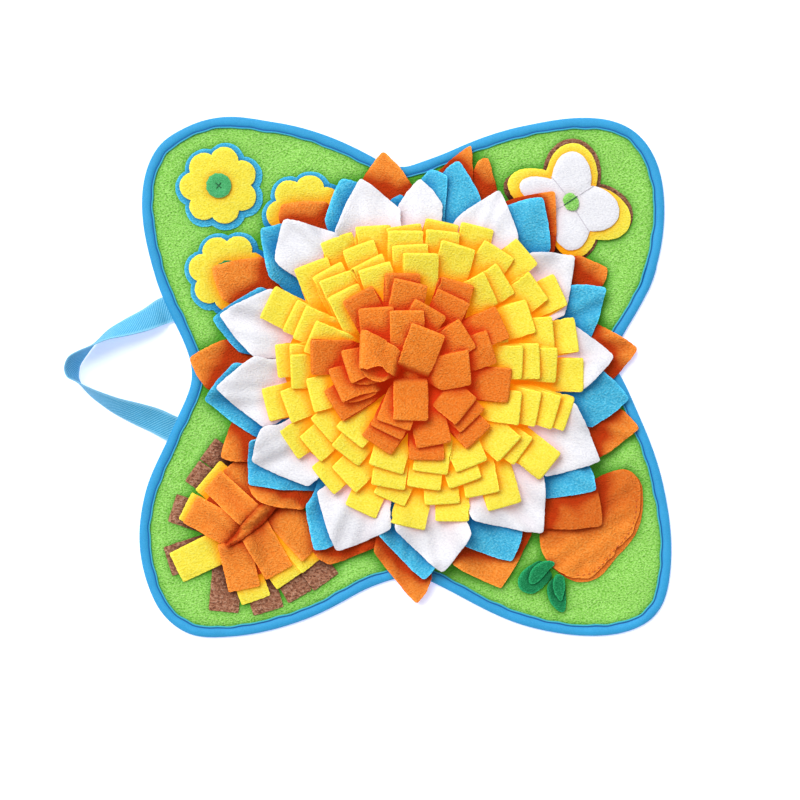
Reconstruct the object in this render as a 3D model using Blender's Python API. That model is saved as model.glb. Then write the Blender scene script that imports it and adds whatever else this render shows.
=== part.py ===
"""Snuffle mat: a four-lobed fleece mat with a bound edge, a webbing hand loop, a layered
flower of folded loops and petals in the middle, and sewn pieces in its four corners.

Sizes are in millimetres in the tables and become metres where a mesh is made. The origin is
under the middle of the flower, on the mat's underside. +X runs away from the hand loop and
+Y towards the two upper lobes.
"""

import math

import bmesh
import bpy
from mathutils import Vector
from mathutils.geometry import delaunay_2d_cdt

MM = 0.001
GAP = 0.3

# The mat: one flat fleece sheet, thinner at its rim, where the binding folds round it.
MAT_THICK = 3.0
RIM_THICK = 1.5
RIM_WIDE = 11.6
EDGE_STEPS = 76

# The mat's edge, seen from the flower's middle: (direction in degrees, reach in mm).
EDGE_ROWS = (
    (-178, 211), (-166, 239), (-156.5, 277), (-149, 303), (-142, 320), (-136, 328),
    (-130.5, 323), (-125, 302), (-113.5, 251), (-104, 212), (-97, 196), (-91, 191),
    (-85.5, 195), (-77, 217), (-64.5, 265), (-53, 308), (-47, 322), (-42.5, 321),
    (-37, 306), (-23.5, 259), (-11.5, 222), (-3, 203), (4.5, 192), (11, 203),
    (23, 249), (35, 291), (42, 309), (48, 313), (54, 302), (66, 260),
    (80, 218), (88, 203), (93.5, 199), (100, 210), (118.5, 274), (126, 304),
    (132, 319), (138.5, 325), (146, 310), (159, 262), (172, 219),
)

# The binding: a folded strip whose section is (inward from the edge, height).
BINDING_SECTION = (
    (0.0, 0.7), (0.7, 0.0), (10.6, 0.0), (10.6, 1.2), (1.5, 1.2),
    (1.5, 3.3), (10.2, 3.3), (10.2, 4.5), (1.0, 4.5), (0.0, 3.8),
)

# The hand loop, webbing on its edge at the far end. Each row is where its lower edge and its
# upper edge pass in plan: (lower x, lower y, upper x, upper y).
WEBBING_WIDE = 25.0
WEBBING_THICK = 1.5
WEBBING_IN_SEAM = 2.25
WEBBING_CLEAR = 1.2
WEBBING_ROWS = (
    (-231.3, 76.4, -220.9, 53.6), (-242.2, 73.0, -231.7, 50.2), (-256.5, 63.2, -248.9, 43.2),
    (-274.6, 53.2, -268.9, 37.8), (-290.7, 42.8, -286.4, 34.2), (-302.6, 29.5, -302.1, 28.0),
    (-309.7, 20.0, -314.5, 23.3), (-315.4, 11.4, -324.0, 17.6), (-316.8, 5.7, -327.8, 7.6),
    (-317.3, 0.0, -324.9, -1.0), (-315.9, -5.7, -316.8, -4.8), (-309.7, -15.2, -305.0, -10.9),
    (-300.2, -23.8, -291.7, -16.2), (-285.0, -34.7, -276.5, -21.4), (-266.0, -45.1, -257.5, -26.1),
    (-248.9, -53.2, -239.4, -31.4), (-234.6, -60.8, -223.2, -38.9), (-224.0, -64.4, -212.6, -42.6),
)

# Felt flowers: name, middle x and y, direction of the first lobe.
FELT_THICK = 1.7
LEVEL_1 = 3.3
LEVEL_2 = 5.3
LEVEL_3 = 7.3
LOBES = 7
LOBE_OUT = 23.3
LOBE_ROUND = 13.0
UNDER_LOBE_ROUND = 17.2
UNDER_SHIFT = (1.9, -2.6)
DOT_ROUND = 11.2
FLOWER_ROWS = (
    ("corner", -185.3, 179.6, 72.6),
    ("upper", -101.7, 155.8, 78.0),
    ("lower", -175.8, 98.8, 64.0),
)

# The butterfly: each layer's wings as (direction, reach, half width).
BUTTERFLY_AT = (149.2, 164.4)
BUTTERFLY_WINGS = {
    "butterfly_brown": ((87, 60.0, 27.0), (164, 65.0, 20.0), (-17, 60.5, 25.0), (-86, 55.0, 25.0)),
    "butterfly_yellow": ((87, 55.5, 23.5), (160, 62.0, 20.0), (-18, 57.5, 23.0), (-84, 52.0, 22.0)),
    "butterfly_white": ((88, 47.5, 18.0), (160, 50.5, 13.5), (-14, 44.5, 20.0), (-89, 45.0, 17.5)),
}
BUTTERFLY_BODY = 7.2

# The gathered strips of the lower left corner. The seam that gathers them runs between two
# points. A strip is (place along the seam from 0 to 1, direction, length, width at its end).
SEAM_FROM = (-173.9, -157.7)
SEAM_TO = (-131.1, -119.7)
SEAM_RIDGE = 5.0
STRIP_ROWS = {
    "strips_brown": (
        (0.85, 133.0, 78.0, 26.0), (0.60, 148.0, 74.0, 25.0), (0.35, 165.0, 72.0, 25.0),
        (0.05, 197.0, 69.0, 27.0), (0.02, 262.5, 65.0, 28.0), (0.35, 287.0, 77.0, 27.5),
        (0.62, 300.5, 80.0, 26.5), (0.85, 311.5, 86.0, 27.0),
    ),
    "strips_yellow": (
        (0.75, 141.0, 62.5, 27.0), (0.30, 159.0, 63.0, 25.5), (0.04, 205.5, 57.0, 27.5),
        (0.10, 286.0, 63.0, 29.0), (0.45, 299.5, 63.0, 27.5), (0.80, 311.0, 62.0, 25.0),
    ),
    "strips_orange": (
        (1.00, 126.0, 50.0, 24.0), (0.70, 141.5, 55.0, 26.5), (0.20, 158.5, 56.0, 26.0),
        (0.10, 282.5, 48.0, 27.0), (0.52, 297.5, 52.0, 28.0), (0.92, 311.0, 55.0, 26.0),
    ),
}

# The carrot: its outline as (direction, reach) from its own middle, and its two leaves.
CARROT_AT = (166.3, -144.4)
CARROT_ROWS = (
    (-172, 46), (-150, 49), (-125, 49), (-105, 49), (-85, 45), (-62, 37), (-42, 34), (-20, 37),
    (5, 45), (28, 55), (46, 66), (58, 65), (72, 54), (92, 41), (120, 36), (150, 39), (172, 42),
)
CARROT_UNDER_EXTRA = 3.6
CARROT_UNDER_TURN = -50.0
LEAF_THICK = 2.6
LEAF_LOOP = (
    (121.6, -174.8), (112.1, -179.6), (103.6, -186.2), (99.8, -192.9), (100.7, -200.5),
    (105.5, -204.2), (113.1, -206.2), (120.7, -201.4), (132.0, -189.5),
)
LEAF_POINT = (
    (135.0, -190.6), (129.2, -195.7), (127.3, -203.3), (130.2, -213.8), (137.8, -222.3),
    (143.4, -223.4), (144.0, -212.8), (143.4, -196.0),
)

# Petals lie round the loops in three rings. A petal's outer end is a cut corner with two
# shoulders: (direction of the corner, its reach, turn to the left shoulder, its reach,
# turn back to the right shoulder, its reach).
PETAL_THICK = 1.8
PETAL_BAND = (99.0, 106.0)
PETAL_LIES_FROM = 142.0
PETAL_WAVE = 0.8
PETAL_ROWS = {
    "petals_orange": (
        (7, 214, 9, 179, 8, 188), (29, 210, 7.5, 191, 3.5, 198), (52.5, 219, 9.5, 186, 11, 178),
        (71, 217, 2, 212, 5.5, 191), (76, 224, 7, 194, 3, 190), (97.5, 214, 7, 191, 7, 180),
        (127.5, 203, 3.5, 191, 11, 183), (151.5, 215, 6.5, 194, 9.5, 181),
        (175.5, 212, 8, 195, 6.5, 180), (203, 197, 4.5, 175, 9.5, 174),
        (219.5, 186, 11, 163, 6, 186), (246, 195, 14, 160, 6, 190),
        (271, 215, 4, 193, 13.5, 170), (292.5, 217, 14.5, 186, 10.5, 181),
        (321.5, 227, 7.5, 201, 11, 189), (347, 219, 4, 197, 10.5, 192),
    ),
    "petals_blue": (
        (24.5, 200, 5.5, 169, 13.5, 169), (54, 207, 7, 183, 11.5, 175), (78, 207, 4, 191, 9.5, 176),
        (85, 195, 3, 183, 4.5, 190), (94, 171, 4.5, 164, 3, 160), (110, 198, 9.5, 168, 7.5, 181),
        (136, 200, 9.5, 163, 9, 178), (164, 197, 8, 166, 14, 166), (186.5, 198, 15, 158, 10.5, 168),
        (213.5, 185, 16, 142, 11.5, 165), (240.5, 188, 4.5, 175, 10, 158),
        (273, 192, 4, 178, 15, 153), (298, 198, 7, 179, 11, 167), (328, 202, 6, 182, 11, 169),
        (354, 205, 7.5, 178, 10, 175),
    ),
    "petals_white": (
        (5.5, 190, 12, 158, 10, 160), (36.5, 189, 9.5, 160, 14.5, 153),
        (65, 193, 9.5, 153, 12.5, 162), (88, 185, 7, 160, 7.5, 163),
        (105, 192, 13.5, 153, 10.5, 156), (129.5, 190, 10.5, 169, 11, 151),
        (162.5, 191, 10.5, 151, 14, 156), (183.5, 185, 15, 149, 10.5, 149),
        (208, 171, 18.5, 143, 9, 149), (246.5, 180, 15, 145, 16, 142),
        (278.5, 187, 11.5, 158, 15, 145), (309.5, 192, 13, 154, 17, 146),
        (335.5, 193, 14.5, 154, 12.5, 156),
    ),
}
# Each petal ring's height where it is sewn down and where its petals lie.
PETAL_LEVELS = {
    "petals_orange": (5.1, 12.2),
    "petals_blue": (7.2, 15.9),
    "petals_white": (9.3, 19.6),
}

# Loops are folded fleece bands, in rings from the outer yellow one to the inner orange one:
# (node, loops, first direction, reach of the root, reach of the fold, height of the fold).
LOOP_FLEECE = 1.6
LOOP_HALF = 2.0
LOOP_WIDE = 32.0
LOOP_SPARE = 1.4
LOOP_BAND = 3.2
LOOP_BAND_THICK = 2.0
LOOP_STAYS = (0.0, 0.45, 0.92)
LOOP_ROWS = (
    ("loops_yellow_4", 24, 4.0, 88.0, 150.0, 23.4),
    ("loops_yellow_3", 22, 9.0, 77.0, 135.0, 28.4),
    ("loops_yellow_2", 20, 2.0, 66.0, 121.0, 33.4),
    ("loops_yellow_1", 18, 11.0, 55.0, 107.0, 38.4),
    ("loops_orange_4", 12, 15.0, 44.0, 94.0, 43.4),
    ("loops_orange_3", 10, 3.0, 33.0, 79.0, 48.4),
    ("loops_orange_2", 8, 20.0, 22.0, 63.0, 53.4),
    ("loops_orange_1", 6, 2.0, 11.5, 46.0, 58.2),
)

FLEECE_COLOURS = {
    "green_fleece": (0.20, 0.56, 0.09),
    "blue_binding": (0.03, 0.33, 0.75),
    "blue_webbing": (0.07, 0.38, 0.67),
    "blue_fleece": (0.04, 0.38, 0.70),
    "yellow_fleece": (1.00, 0.69, 0.03),
    "orange_fleece": (0.87, 0.19, 0.03),
    "white_fleece": (0.94, 0.93, 0.96),
    "brown_fleece": (0.25, 0.10, 0.06),
    "green_felt": (0.04, 0.38, 0.14),
    "light_green_felt": (0.21, 0.63, 0.10),
    "dark_green_felt": (0.01, 0.25, 0.08),
}


def clear_scene():
    for thing in list(bpy.data.objects):
        bpy.data.objects.remove(thing, do_unlink=True)


def fabric(slot):
    """A plain fabric material of this slot's colour."""
    found = bpy.data.materials.get(slot)
    if found:
        return found
    made = bpy.data.materials.new(slot)
    made.use_nodes = True
    shader = made.node_tree.nodes["Principled BSDF"]
    shader.inputs["Base Color"].default_value = (*FLEECE_COLOURS[slot], 1.0)
    shader.inputs["Roughness"].default_value = 0.9
    return made


def make_piece(name, slot, points, faces):
    """One closed solid from points in mm and faces that name them."""
    mesh = bpy.data.meshes.new(name)
    mesh.from_pydata([Vector(point) * MM for point in points], [], faces)
    work = bmesh.new()
    work.from_mesh(mesh)
    bmesh.ops.recalc_face_normals(work, faces=work.faces)
    work.to_mesh(mesh)
    work.free()
    mesh.shade_smooth()
    mesh.set_sharp_from_angle(angle=math.radians(35))
    piece = bpy.data.objects.new(name, mesh)
    bpy.context.scene.collection.objects.link(piece)
    mesh.materials.append(fabric(slot))
    return piece


def polar(direction, reach, middle=(0.0, 0.0)):
    angle = math.radians(direction)
    return (middle[0] + reach * math.cos(angle), middle[1] + reach * math.sin(angle))


def reach_between(rows, direction):
    """A smooth closed curve's reach in this direction, through rows of (direction, reach)."""
    count = len(rows)
    direction = (direction - rows[0][0]) % 360 + rows[0][0]
    at = max(i for i in range(count) if rows[i][0] <= direction)
    around = []
    for step in (-1, 0, 1, 2):
        turn, place = divmod(at + step, count)
        around.append((rows[place][0] + 360 * turn, rows[place][1]))
    (a0, r0), (a1, r1), (a2, r2), (a3, r3) = around
    span = a2 - a1
    t = (direction - a1) / span
    slope_1 = (r2 - r0) / (a2 - a0) * span
    slope_2 = (r3 - r1) / (a3 - a1) * span
    return (
        (2 * t**3 - 3 * t**2 + 1) * r1 + (t**3 - 2 * t**2 + t) * slope_1
        + (3 * t**2 - 2 * t**3) * r2 + (t**3 - t**2) * slope_2
    )


def curve_points(rows, count, middle=(0.0, 0.0), extra=0.0):
    """Points evenly spaced along a closed curve of (direction, reach) rows."""
    fine = [
        polar(-180 + 360 * i / 720, reach_between(rows, -180 + 360 * i / 720) + extra, middle)
        for i in range(720)
    ]
    lengths = [math.dist(fine[i - 1], fine[i]) for i in range(720)]
    step = sum(lengths) / count
    points = []
    travelled = 0.0
    for point, length in zip(fine, lengths):
        travelled += length
        if travelled >= step * (len(points) + 0.5) and len(points) < count:
            points.append(point)
    return points


def moved_inward(points, amount):
    """A closed outline, counter-clockwise, moved inward by this amount."""
    count = len(points)
    moved = []
    for i in range(count):
        before = Vector(points[i - 1])
        after = Vector(points[(i + 1) % count])
        along = (after - before).normalized()
        moved.append((points[i][0] - along.y * amount, points[i][1] + along.x * amount))
    return moved


def smooth_step(low, high, value):
    t = min(1.0, max(0.0, (value - low) / (high - low)))
    return t * t * (3 - 2 * t)


def sheet(name, slot, outlines, top, thick, seeds=()):
    """A sheet cut to the union of some outlines, its upper face at height top(x, y)."""
    spots = []
    shapes = []
    for outline in outlines:
        shapes.append(list(range(len(spots), len(spots) + len(outline))))
        spots.extend(Vector(spot) for spot in outline)
    spots.extend(Vector(seed) for seed in seeds)
    flat, _, triangles, _, _, covers = delaunay_2d_cdt(spots, [], shapes, 1, 1e-4)
    triangles = [triangle for triangle, cover in zip(triangles, covers) if cover]
    used = sorted({corner for triangle in triangles for corner in triangle})
    place = {corner: i for i, corner in enumerate(used)}
    triangles = [tuple(place[corner] for corner in triangle) for triangle in triangles]
    heights = [top(flat[corner].x, flat[corner].y) for corner in used]
    upper = [(flat[c].x, flat[c].y, h) for c, h in zip(used, heights)]
    lower = [(x, y, z - thick) for x, y, z in upper]
    size = len(upper)
    sides = {}
    for a, b, c in triangles:
        for edge in ((a, b), (b, c), (c, a)):
            if (edge[1], edge[0]) in sides:
                del sides[edge[1], edge[0]]
            else:
                sides[edge] = True
    faces = list(triangles)
    faces += [(c + size, b + size, a + size) for a, b, c in triangles]
    faces += [(b, a, a + size, b + size) for a, b in sides]
    return make_piece(name, slot, upper + lower, faces)


def seeds_inside(middle, reach, spacing):
    """A grid of spots round a middle, which lets a sheet swell between its edges."""
    steps = range(-int(reach // spacing), int(reach // spacing) + 1)
    return [
        (middle[0] + spacing * (i + 0.5 * (j % 2)), middle[1] + spacing * j)
        for i in steps for j in steps
        if math.hypot(spacing * (i + 0.5 * (j % 2)), spacing * j) < reach
    ]


def swept_ring(name, slot, rings):
    """A closed ring whose section repeats at each station. rings holds one loop per corner."""
    corners = len(rings)
    stations = len(rings[0])
    points = [rings[c][s] for s in range(stations) for c in range(corners)]
    faces = []
    for s in range(stations):
        after = (s + 1) % stations
        for c in range(corners):
            d = (c + 1) % corners
            faces.append((s * corners + c, after * corners + c, after * corners + d, s * corners + d))
    return make_piece(name, slot, points, faces)


def make_mat(edge):
    outer = moved_inward(edge, BINDING_SECTION[4][0] + GAP)
    inner = moved_inward(edge, RIM_WIDE)
    size = len(edge)
    points = [(x, y, MAT_THICK) for x, y in outer]
    points += [(x, y, MAT_THICK - RIM_THICK) for x, y in outer]
    points += [(x, y, MAT_THICK - RIM_THICK) for x, y in inner]
    points += [(x, y, 0.0) for x, y in inner]
    faces = [tuple(range(size)), tuple(range(4 * size - 1, 3 * size - 1, -1))]
    for band in range(3):
        for i in range(size):
            j = (i + 1) % size
            faces.append((band * size + i, band * size + j, (band + 1) * size + j, (band + 1) * size + i))
    return make_piece("mat", "green_fleece", points, faces)


def make_binding(edge):
    rings = []
    for inward, height in BINDING_SECTION:
        rings.append([(x, y, height) for x, y in moved_inward(edge, inward)])
    return swept_ring("edge_binding", "blue_binding", rings)


def webbing_edges():
    """The webbing's lower and upper edges in space, two stations to each row of the table."""
    lower = []
    upper = []
    last = len(WEBBING_ROWS) - 1
    for step in range(2 * last + 1):
        at, part = divmod(step, 2)
        row = WEBBING_ROWS[at]
        if part:
            row = [
                (9 * (a + b) - (c + d)) / 16
                for a, b, c, d in zip(
                    WEBBING_ROWS[at], WEBBING_ROWS[at + 1],
                    WEBBING_ROWS[max(at - 1, 0)], WEBBING_ROWS[min(at + 2, last)],
                )
            ]
        in_plan = math.dist(row[:2], row[2:])
        rise = math.sqrt(max(0.0, WEBBING_WIDE**2 - in_plan**2))
        from_seam = min(step, 2 * last - step)
        flat = from_seam <= 2
        level = WEBBING_IN_SEAM + (WEBBING_CLEAR - WEBBING_IN_SEAM) * smooth_step(2, 5, from_seam)
        lower.append(Vector((row[0], row[1], level)))
        upper.append(Vector((row[2], row[3], level + (0.0 if flat else rise))))
    return lower, upper


def make_webbing():
    lower, upper = webbing_edges()
    last = len(lower) - 1
    points = []
    for i in range(last + 1):
        before = (lower[max(i - 1, 0)] + upper[max(i - 1, 0)]) / 2
        after = (lower[min(i + 1, last)] + upper[min(i + 1, last)]) / 2
        face = (after - before).cross(upper[i] - lower[i]).normalized() * (WEBBING_THICK / 2)
        points += [lower[i] - face, upper[i] - face, upper[i] + face, lower[i] + face]
    faces = [(0, 1, 2, 3), tuple(4 * last + corner for corner in (3, 2, 1, 0))]
    for i in range(last):
        for c in range(4):
            d = (c + 1) % 4
            faces.append((4 * i + c, 4 * i + d, 4 * i + 4 + d, 4 * i + 4 + c))
    return make_piece("hand_loop", "blue_webbing", points, faces)


def seam_pocket(name, low_in, high_in, low_out, high_out, wide, depth_out):
    """A cutter for the slot where one end of the webbing enters the binding."""
    along = (Vector(low_out) + Vector(high_out) - Vector(low_in) - Vector(high_in)).normalized()
    across = (Vector(high_in) - Vector(low_in)).normalized()
    middle = (Vector(low_in) + Vector(high_in)) / 2
    far = (Vector(low_out) + Vector(high_out)) / 2
    corners = []
    for end, reach in ((middle, -0.6), (far, depth_out)):
        for side in (-1, 1):
            corners.append(end + along * reach + across * side * wide / 2)
    order = (corners[0], corners[1], corners[3], corners[2])
    points = [(c.x, c.y, z) for z in (0.9, 3.6) for c in order]
    faces = [(0, 1, 2, 3), (7, 6, 5, 4)] + [(i, (i + 1) % 4, (i + 1) % 4 + 4, i + 4) for i in range(4)]
    cutter = make_piece(name, "blue_webbing", points, faces)
    cutter.hide_render = True
    cutter.display_type = "WIRE"
    return cutter


def combine(piece, other, operation):
    step = piece.modifiers.new(f"{operation.lower()}_{other.name}", "BOOLEAN")
    step.operation = operation
    step.solver = "EXACT"
    step.object = other


def make_edge_and_hand_loop():
    edge = curve_points(EDGE_ROWS, EDGE_STEPS)
    mat = make_mat(edge)
    binding = make_binding(edge)
    make_webbing()
    ends = {
        "pocket_upper": (WEBBING_ROWS[0], WEBBING_ROWS[1]),
        "pocket_lower": (WEBBING_ROWS[-1], WEBBING_ROWS[-2]),
    }
    for name, (inner, outer) in ends.items():
        cutter = seam_pocket(
            name, inner[:2], inner[2:], outer[:2], outer[2:], WEBBING_WIDE + 2.0, 6.0
        )
        combine(mat, cutter, "DIFFERENCE")
        combine(binding, cutter, "DIFFERENCE")


def lobed_outline(middle, first, lobe_round):
    """A ring of round lobes: each lobe is an arc between its two valleys."""
    half_turn = 180 / LOBES
    points = []
    for lobe in range(LOBES):
        for part in (-1.0, -0.66, -0.33, 0.0, 0.33, 0.66):
            turn = math.radians(part * half_turn)
            reach = LOBE_OUT * math.cos(turn) + math.sqrt(
                lobe_round**2 - (LOBE_OUT * math.sin(turn)) ** 2
            )
            points.append(polar(first + 2 * half_turn * lobe + math.degrees(turn), reach, middle))
    return points


def level(height):
    return lambda x, y: height + FELT_THICK


def make_flowers():
    for name, x, y, first in FLOWER_ROWS:
        under = (x + UNDER_SHIFT[0], y + UNDER_SHIFT[1])
        outline = lobed_outline(under, first, UNDER_LOBE_ROUND)
        sheet(f"flower_{name}_blue", "blue_fleece", [outline], level(LEVEL_1), FELT_THICK)
        outline = lobed_outline((x, y), first, LOBE_ROUND)
        sheet(f"flower_{name}_yellow", "yellow_fleece", [outline], level(LEVEL_2), FELT_THICK)
        outline = [polar(360 * i / 14, DOT_ROUND, (x, y)) for i in range(14)]
        sheet(f"flower_{name}_dot", "green_felt", [outline], level(LEVEL_3), FELT_THICK)


def wing_reach(wings, direction):
    """How far a set of oval wings, all rooted in one middle, reaches in this direction."""
    best = 14.0
    for aim, reach, half_wide in wings:
        turn = math.radians(direction - aim)
        length = 0.5 * (reach + 6.0)
        middle = reach - length
        a = (math.cos(turn) / length) ** 2 + (math.sin(turn) / half_wide) ** 2
        b = -2 * middle * math.cos(turn) / length**2
        c = (middle / length) ** 2 - 1
        inside = b * b - 4 * a * c
        if inside > 0:
            best = max(best, (-b + math.sqrt(inside)) / (2 * a))
    return best


def make_butterfly():
    colours = {"brown": "brown_fleece", "yellow": "yellow_fleece", "white": "white_fleece"}
    heights = {"brown": LEVEL_1, "yellow": LEVEL_2, "white": LEVEL_3}
    for name, wings in BUTTERFLY_WINGS.items():
        colour = name.split("_")[1]
        outline = [
            polar(d, wing_reach(wings, d), BUTTERFLY_AT) for d in range(0, 360, 8)
        ]
        sheet(name, colours[colour], [outline], level(heights[colour]), FELT_THICK)
    body = [polar(36 * i, BUTTERFLY_BODY, BUTTERFLY_AT) for i in range(10)]
    sheet("butterfly_body", "light_green_felt", [body], level(LEVEL_3 + 2.0), FELT_THICK)


def seam_ridge(x, y):
    """How much the gathered strips stand up at their seam."""
    start = Vector(SEAM_FROM)
    run = Vector(SEAM_TO) - start
    here = Vector((x, y)) - start
    t = here.dot(run) / run.length_squared
    away = abs(here.cross(run)) / run.length
    ends = smooth_step(-0.2, 0.25, t) * smooth_step(1.05, 0.6, t) if t < 1.05 else 0.0
    return SEAM_RIDGE * ends * math.exp(-((away / 9.0) ** 2))


def gathered_top(x, y):
    return LEVEL_3 + FELT_THICK + seam_ridge(x, y)


def strip_outline(place, direction, length, wide):
    root = Vector(SEAM_FROM).lerp(Vector(SEAM_TO), place)
    along = Vector(polar(direction, 1.0))
    across = Vector((-along.y, along.x))
    start = root - along * 5.0
    end = root + along * length
    corners = (
        start - across * wide * 0.36, end - across * wide / 2,
        end + across * wide / 2, start + across * wide * 0.36,
    )
    return [(corner.x, corner.y) for corner in corners]


def make_gathered_strips():
    colours = ("brown_fleece", "yellow_fleece", "orange_fleece")
    for (name, rows), slot, height in zip(STRIP_ROWS.items(), colours, (LEVEL_1, LEVEL_2, LEVEL_3)):
        outlines = [strip_outline(*row) for row in rows]
        along = (Vector(SEAM_TO) - Vector(SEAM_FROM)).normalized()
        across = Vector((-along.y, along.x))
        core = []
        for end, side in ((0, -1), (1, -1), (1, 1), (0, 1)):
            spot = Vector(SEAM_FROM).lerp(Vector(SEAM_TO), end) + across * side * 9.0
            core.append((spot.x, spot.y))
        outlines.append(core)
        seeds = [
            tuple(Vector(SEAM_FROM).lerp(Vector(SEAM_TO), 0.25 * i) + across * 5.0 * side)
            for i in range(5) for side in (-1, 0, 1)
        ]
        if name == "strips_orange":
            sheet(name, slot, outlines, gathered_top, FELT_THICK, seeds)
        else:
            sheet(name, slot, outlines, level(height), FELT_THICK)


def carrot_swell(x, y):
    away = math.dist((x, y), CARROT_AT)
    return 2.0 * (1 - smooth_step(8.0, 40.0, away))


def make_carrot():
    middle = polar(CARROT_UNDER_TURN, CARROT_UNDER_EXTRA, CARROT_AT)
    outline = curve_points(CARROT_ROWS, 34, middle)
    sheet("carrot_under", "orange_fleece", [outline], level(LEVEL_1), FELT_THICK)
    outline = curve_points(CARROT_ROWS, 34, CARROT_AT)
    top = lambda x, y: LEVEL_2 + FELT_THICK + carrot_swell(x, y)
    seeds = seeds_inside(CARROT_AT, 33.0, 15.0)
    sheet("carrot_upper", "orange_fleece", [outline], top, FELT_THICK, seeds)
    leaf_top = lambda x, y: LEVEL_1 + LEAF_THICK
    sheet("carrot_leaf_folded", "dark_green_felt", [LEAF_LOOP], leaf_top, LEAF_THICK)
    sheet("carrot_leaf_pointed", "dark_green_felt", [LEAF_POINT], leaf_top, LEAF_THICK)


def petal_corners(row):
    """(direction, reach) of a petal's left shoulder, corner and right shoulder."""
    aim, reach, left_turn, left_reach, right_turn, right_reach = row
    return (aim + left_turn, left_reach), (aim, reach), (aim - right_turn, right_reach)


def petal_outline(row, low, high, root_half):
    """A petal's plan between two bounding directions, from its root to its cut end."""
    left, corner, right = petal_corners(row)
    middle = (left[0] + right[0]) / 2
    root = PETAL_BAND[1] - 1.5

    def held(direction, reach):
        spare = math.degrees(0.5 / reach)
        return polar(min(high - spare, max(low + spare, direction)), reach)

    def between(a, b, share, out):
        return a[0] + (b[0] - a[0]) * share, a[1] + (b[1] - a[1]) * share + out

    right_root = (middle - root_half, root)
    left_root = (middle + root_half, root)
    near_right = between(corner, right, 0.14, -1.0)
    near_left = between(corner, left, 0.14, -1.0)
    path = (
        right_root, between(right_root, right, 0.5, 0.0), right,
        between(right, corner, 0.5, 2.0), near_right, near_left,
        between(corner, left, 0.5, 2.0), left, between(left, left_root, 0.5, 0.0), left_root,
    )
    return [held(*spot) for spot in path]


def make_petals():
    for name, rows in PETAL_ROWS.items():
        count = len(rows)
        sewn, lies = PETAL_LEVELS[name]
        outlines = []
        seeds = []
        root_half = 0.34 * 360 / count
        for i, row in enumerate(rows):
            before = rows[i - 1]
            after = rows[(i + 1) % count]
            left = row[0] + row[2]
            right = row[0] - row[4]
            next_right = after[0] - after[4] + (360 if i == count - 1 else 0)
            last_left = before[0] + before[2] - (360 if i == 0 else 0)
            high = (left + next_right) / 2
            low = (right + last_left) / 2
            half = min(root_half, 0.42 * (high - low))
            outlines.append(petal_outline(row, low, high, half))
            for share in (0.3, 0.55, 0.8):
                reach = PETAL_BAND[1] + (row[1] - PETAL_BAND[1]) * share
                seeds.append(polar((left + right) / 2, reach))
        band_steps = 30
        for i in range(band_steps):
            a = 360 * i / band_steps
            b = 360 * (i + 1) / band_steps
            outlines.append([
                polar(a, PETAL_BAND[0]), polar(a, PETAL_BAND[1]),
                polar(b, PETAL_BAND[1]), polar(b, PETAL_BAND[0]),
            ])

        def top(x, y, sewn=sewn, lies=lies):
            reach = math.hypot(x, y)
            around = math.atan2(y, x)
            rise = smooth_step(PETAL_BAND[1], PETAL_LIES_FROM, reach)
            wave = math.sin(9 * around + 0.02 * reach) + math.sin(17 * around - 0.05 * reach)
            return sewn + (lies - sewn) * rise + PETAL_WAVE * 0.5 * wave * rise

        slot = name.split("_")[1] + "_fleece"
        sheet(name, slot, outlines, top, PETAL_THICK, seeds)


def loop_path(root, tip, height, share):
    """Reach, height and slope of a loop's middle line at a share of its way to the fold."""
    start = Vector((root, LEVEL_1 + 0.7))
    bend = Vector((root + 0.13 * (tip - root), height + 1.5))
    end = Vector((tip, height))
    first = start.lerp(bend, share)
    second = bend.lerp(end, share)
    here = first.lerp(second, share)
    return here, (second - first).normalized()


def loop_solid(aim, count, root, tip, height):
    """Points and faces of one folded band: two layers that meet at the root and the fold."""
    flank = []
    for share in LOOP_STAYS:
        here, way = loop_path(root, tip, height, share)
        side = Vector((-way.y, way.x))
        flank.append((here, way, side))
    gap = LOOP_HALF - LOOP_FLEECE

    def at(i, along, out):
        here, way, side = flank[i]
        return here + way * along + side * out

    outer = [
        at(0, 0, -LOOP_HALF), at(1, 0, -LOOP_HALF), at(2, 0, -LOOP_HALF),
        at(2, 3.2, -1.1), at(2, 3.2, 1.1),
        at(2, 0, LOOP_HALF), at(1, 0, LOOP_HALF), at(0, 0, LOOP_HALF),
    ]
    inner = [at(1, 0, 0.0), at(2, 0, gap), at(2, 0, -gap)]
    profile = outer + inner
    caps = (
        (0, 1, 8), (0, 8, 7), (7, 8, 6),
        (1, 2, 10, 8), (6, 8, 9, 5), (2, 3, 10), (3, 4, 9, 10), (4, 5, 9),
    )
    spare = LOOP_SPARE + 2 * math.pi * LOOP_HALF / count
    widths = []
    for spot in profile:
        share = 2 * math.pi * spot.x / count - spare
        widths.append(min(LOOP_WIDE, share) / 2)
    turn = math.radians(aim)
    out = Vector((math.cos(turn), math.sin(turn), 0))
    along = Vector((-math.sin(turn), math.cos(turn), 0))
    points = []
    for side in (-1, 1):
        for spot, half in zip(profile, widths):
            points.append(out * spot.x + along * side * half + Vector((0, 0, spot.y)))
    size = len(profile)
    faces = [cap for cap in caps]
    faces += [tuple(corner + size for corner in reversed(cap)) for cap in caps]
    for i in range(8):
        j = (i + 1) % 8
        faces.append((j, i, i + size, j + size))
    for i in range(3):
        j = (i + 1) % 3
        faces.append((8 + i, 8 + j, 8 + j + size, 8 + i + size))
    return points, faces


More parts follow.
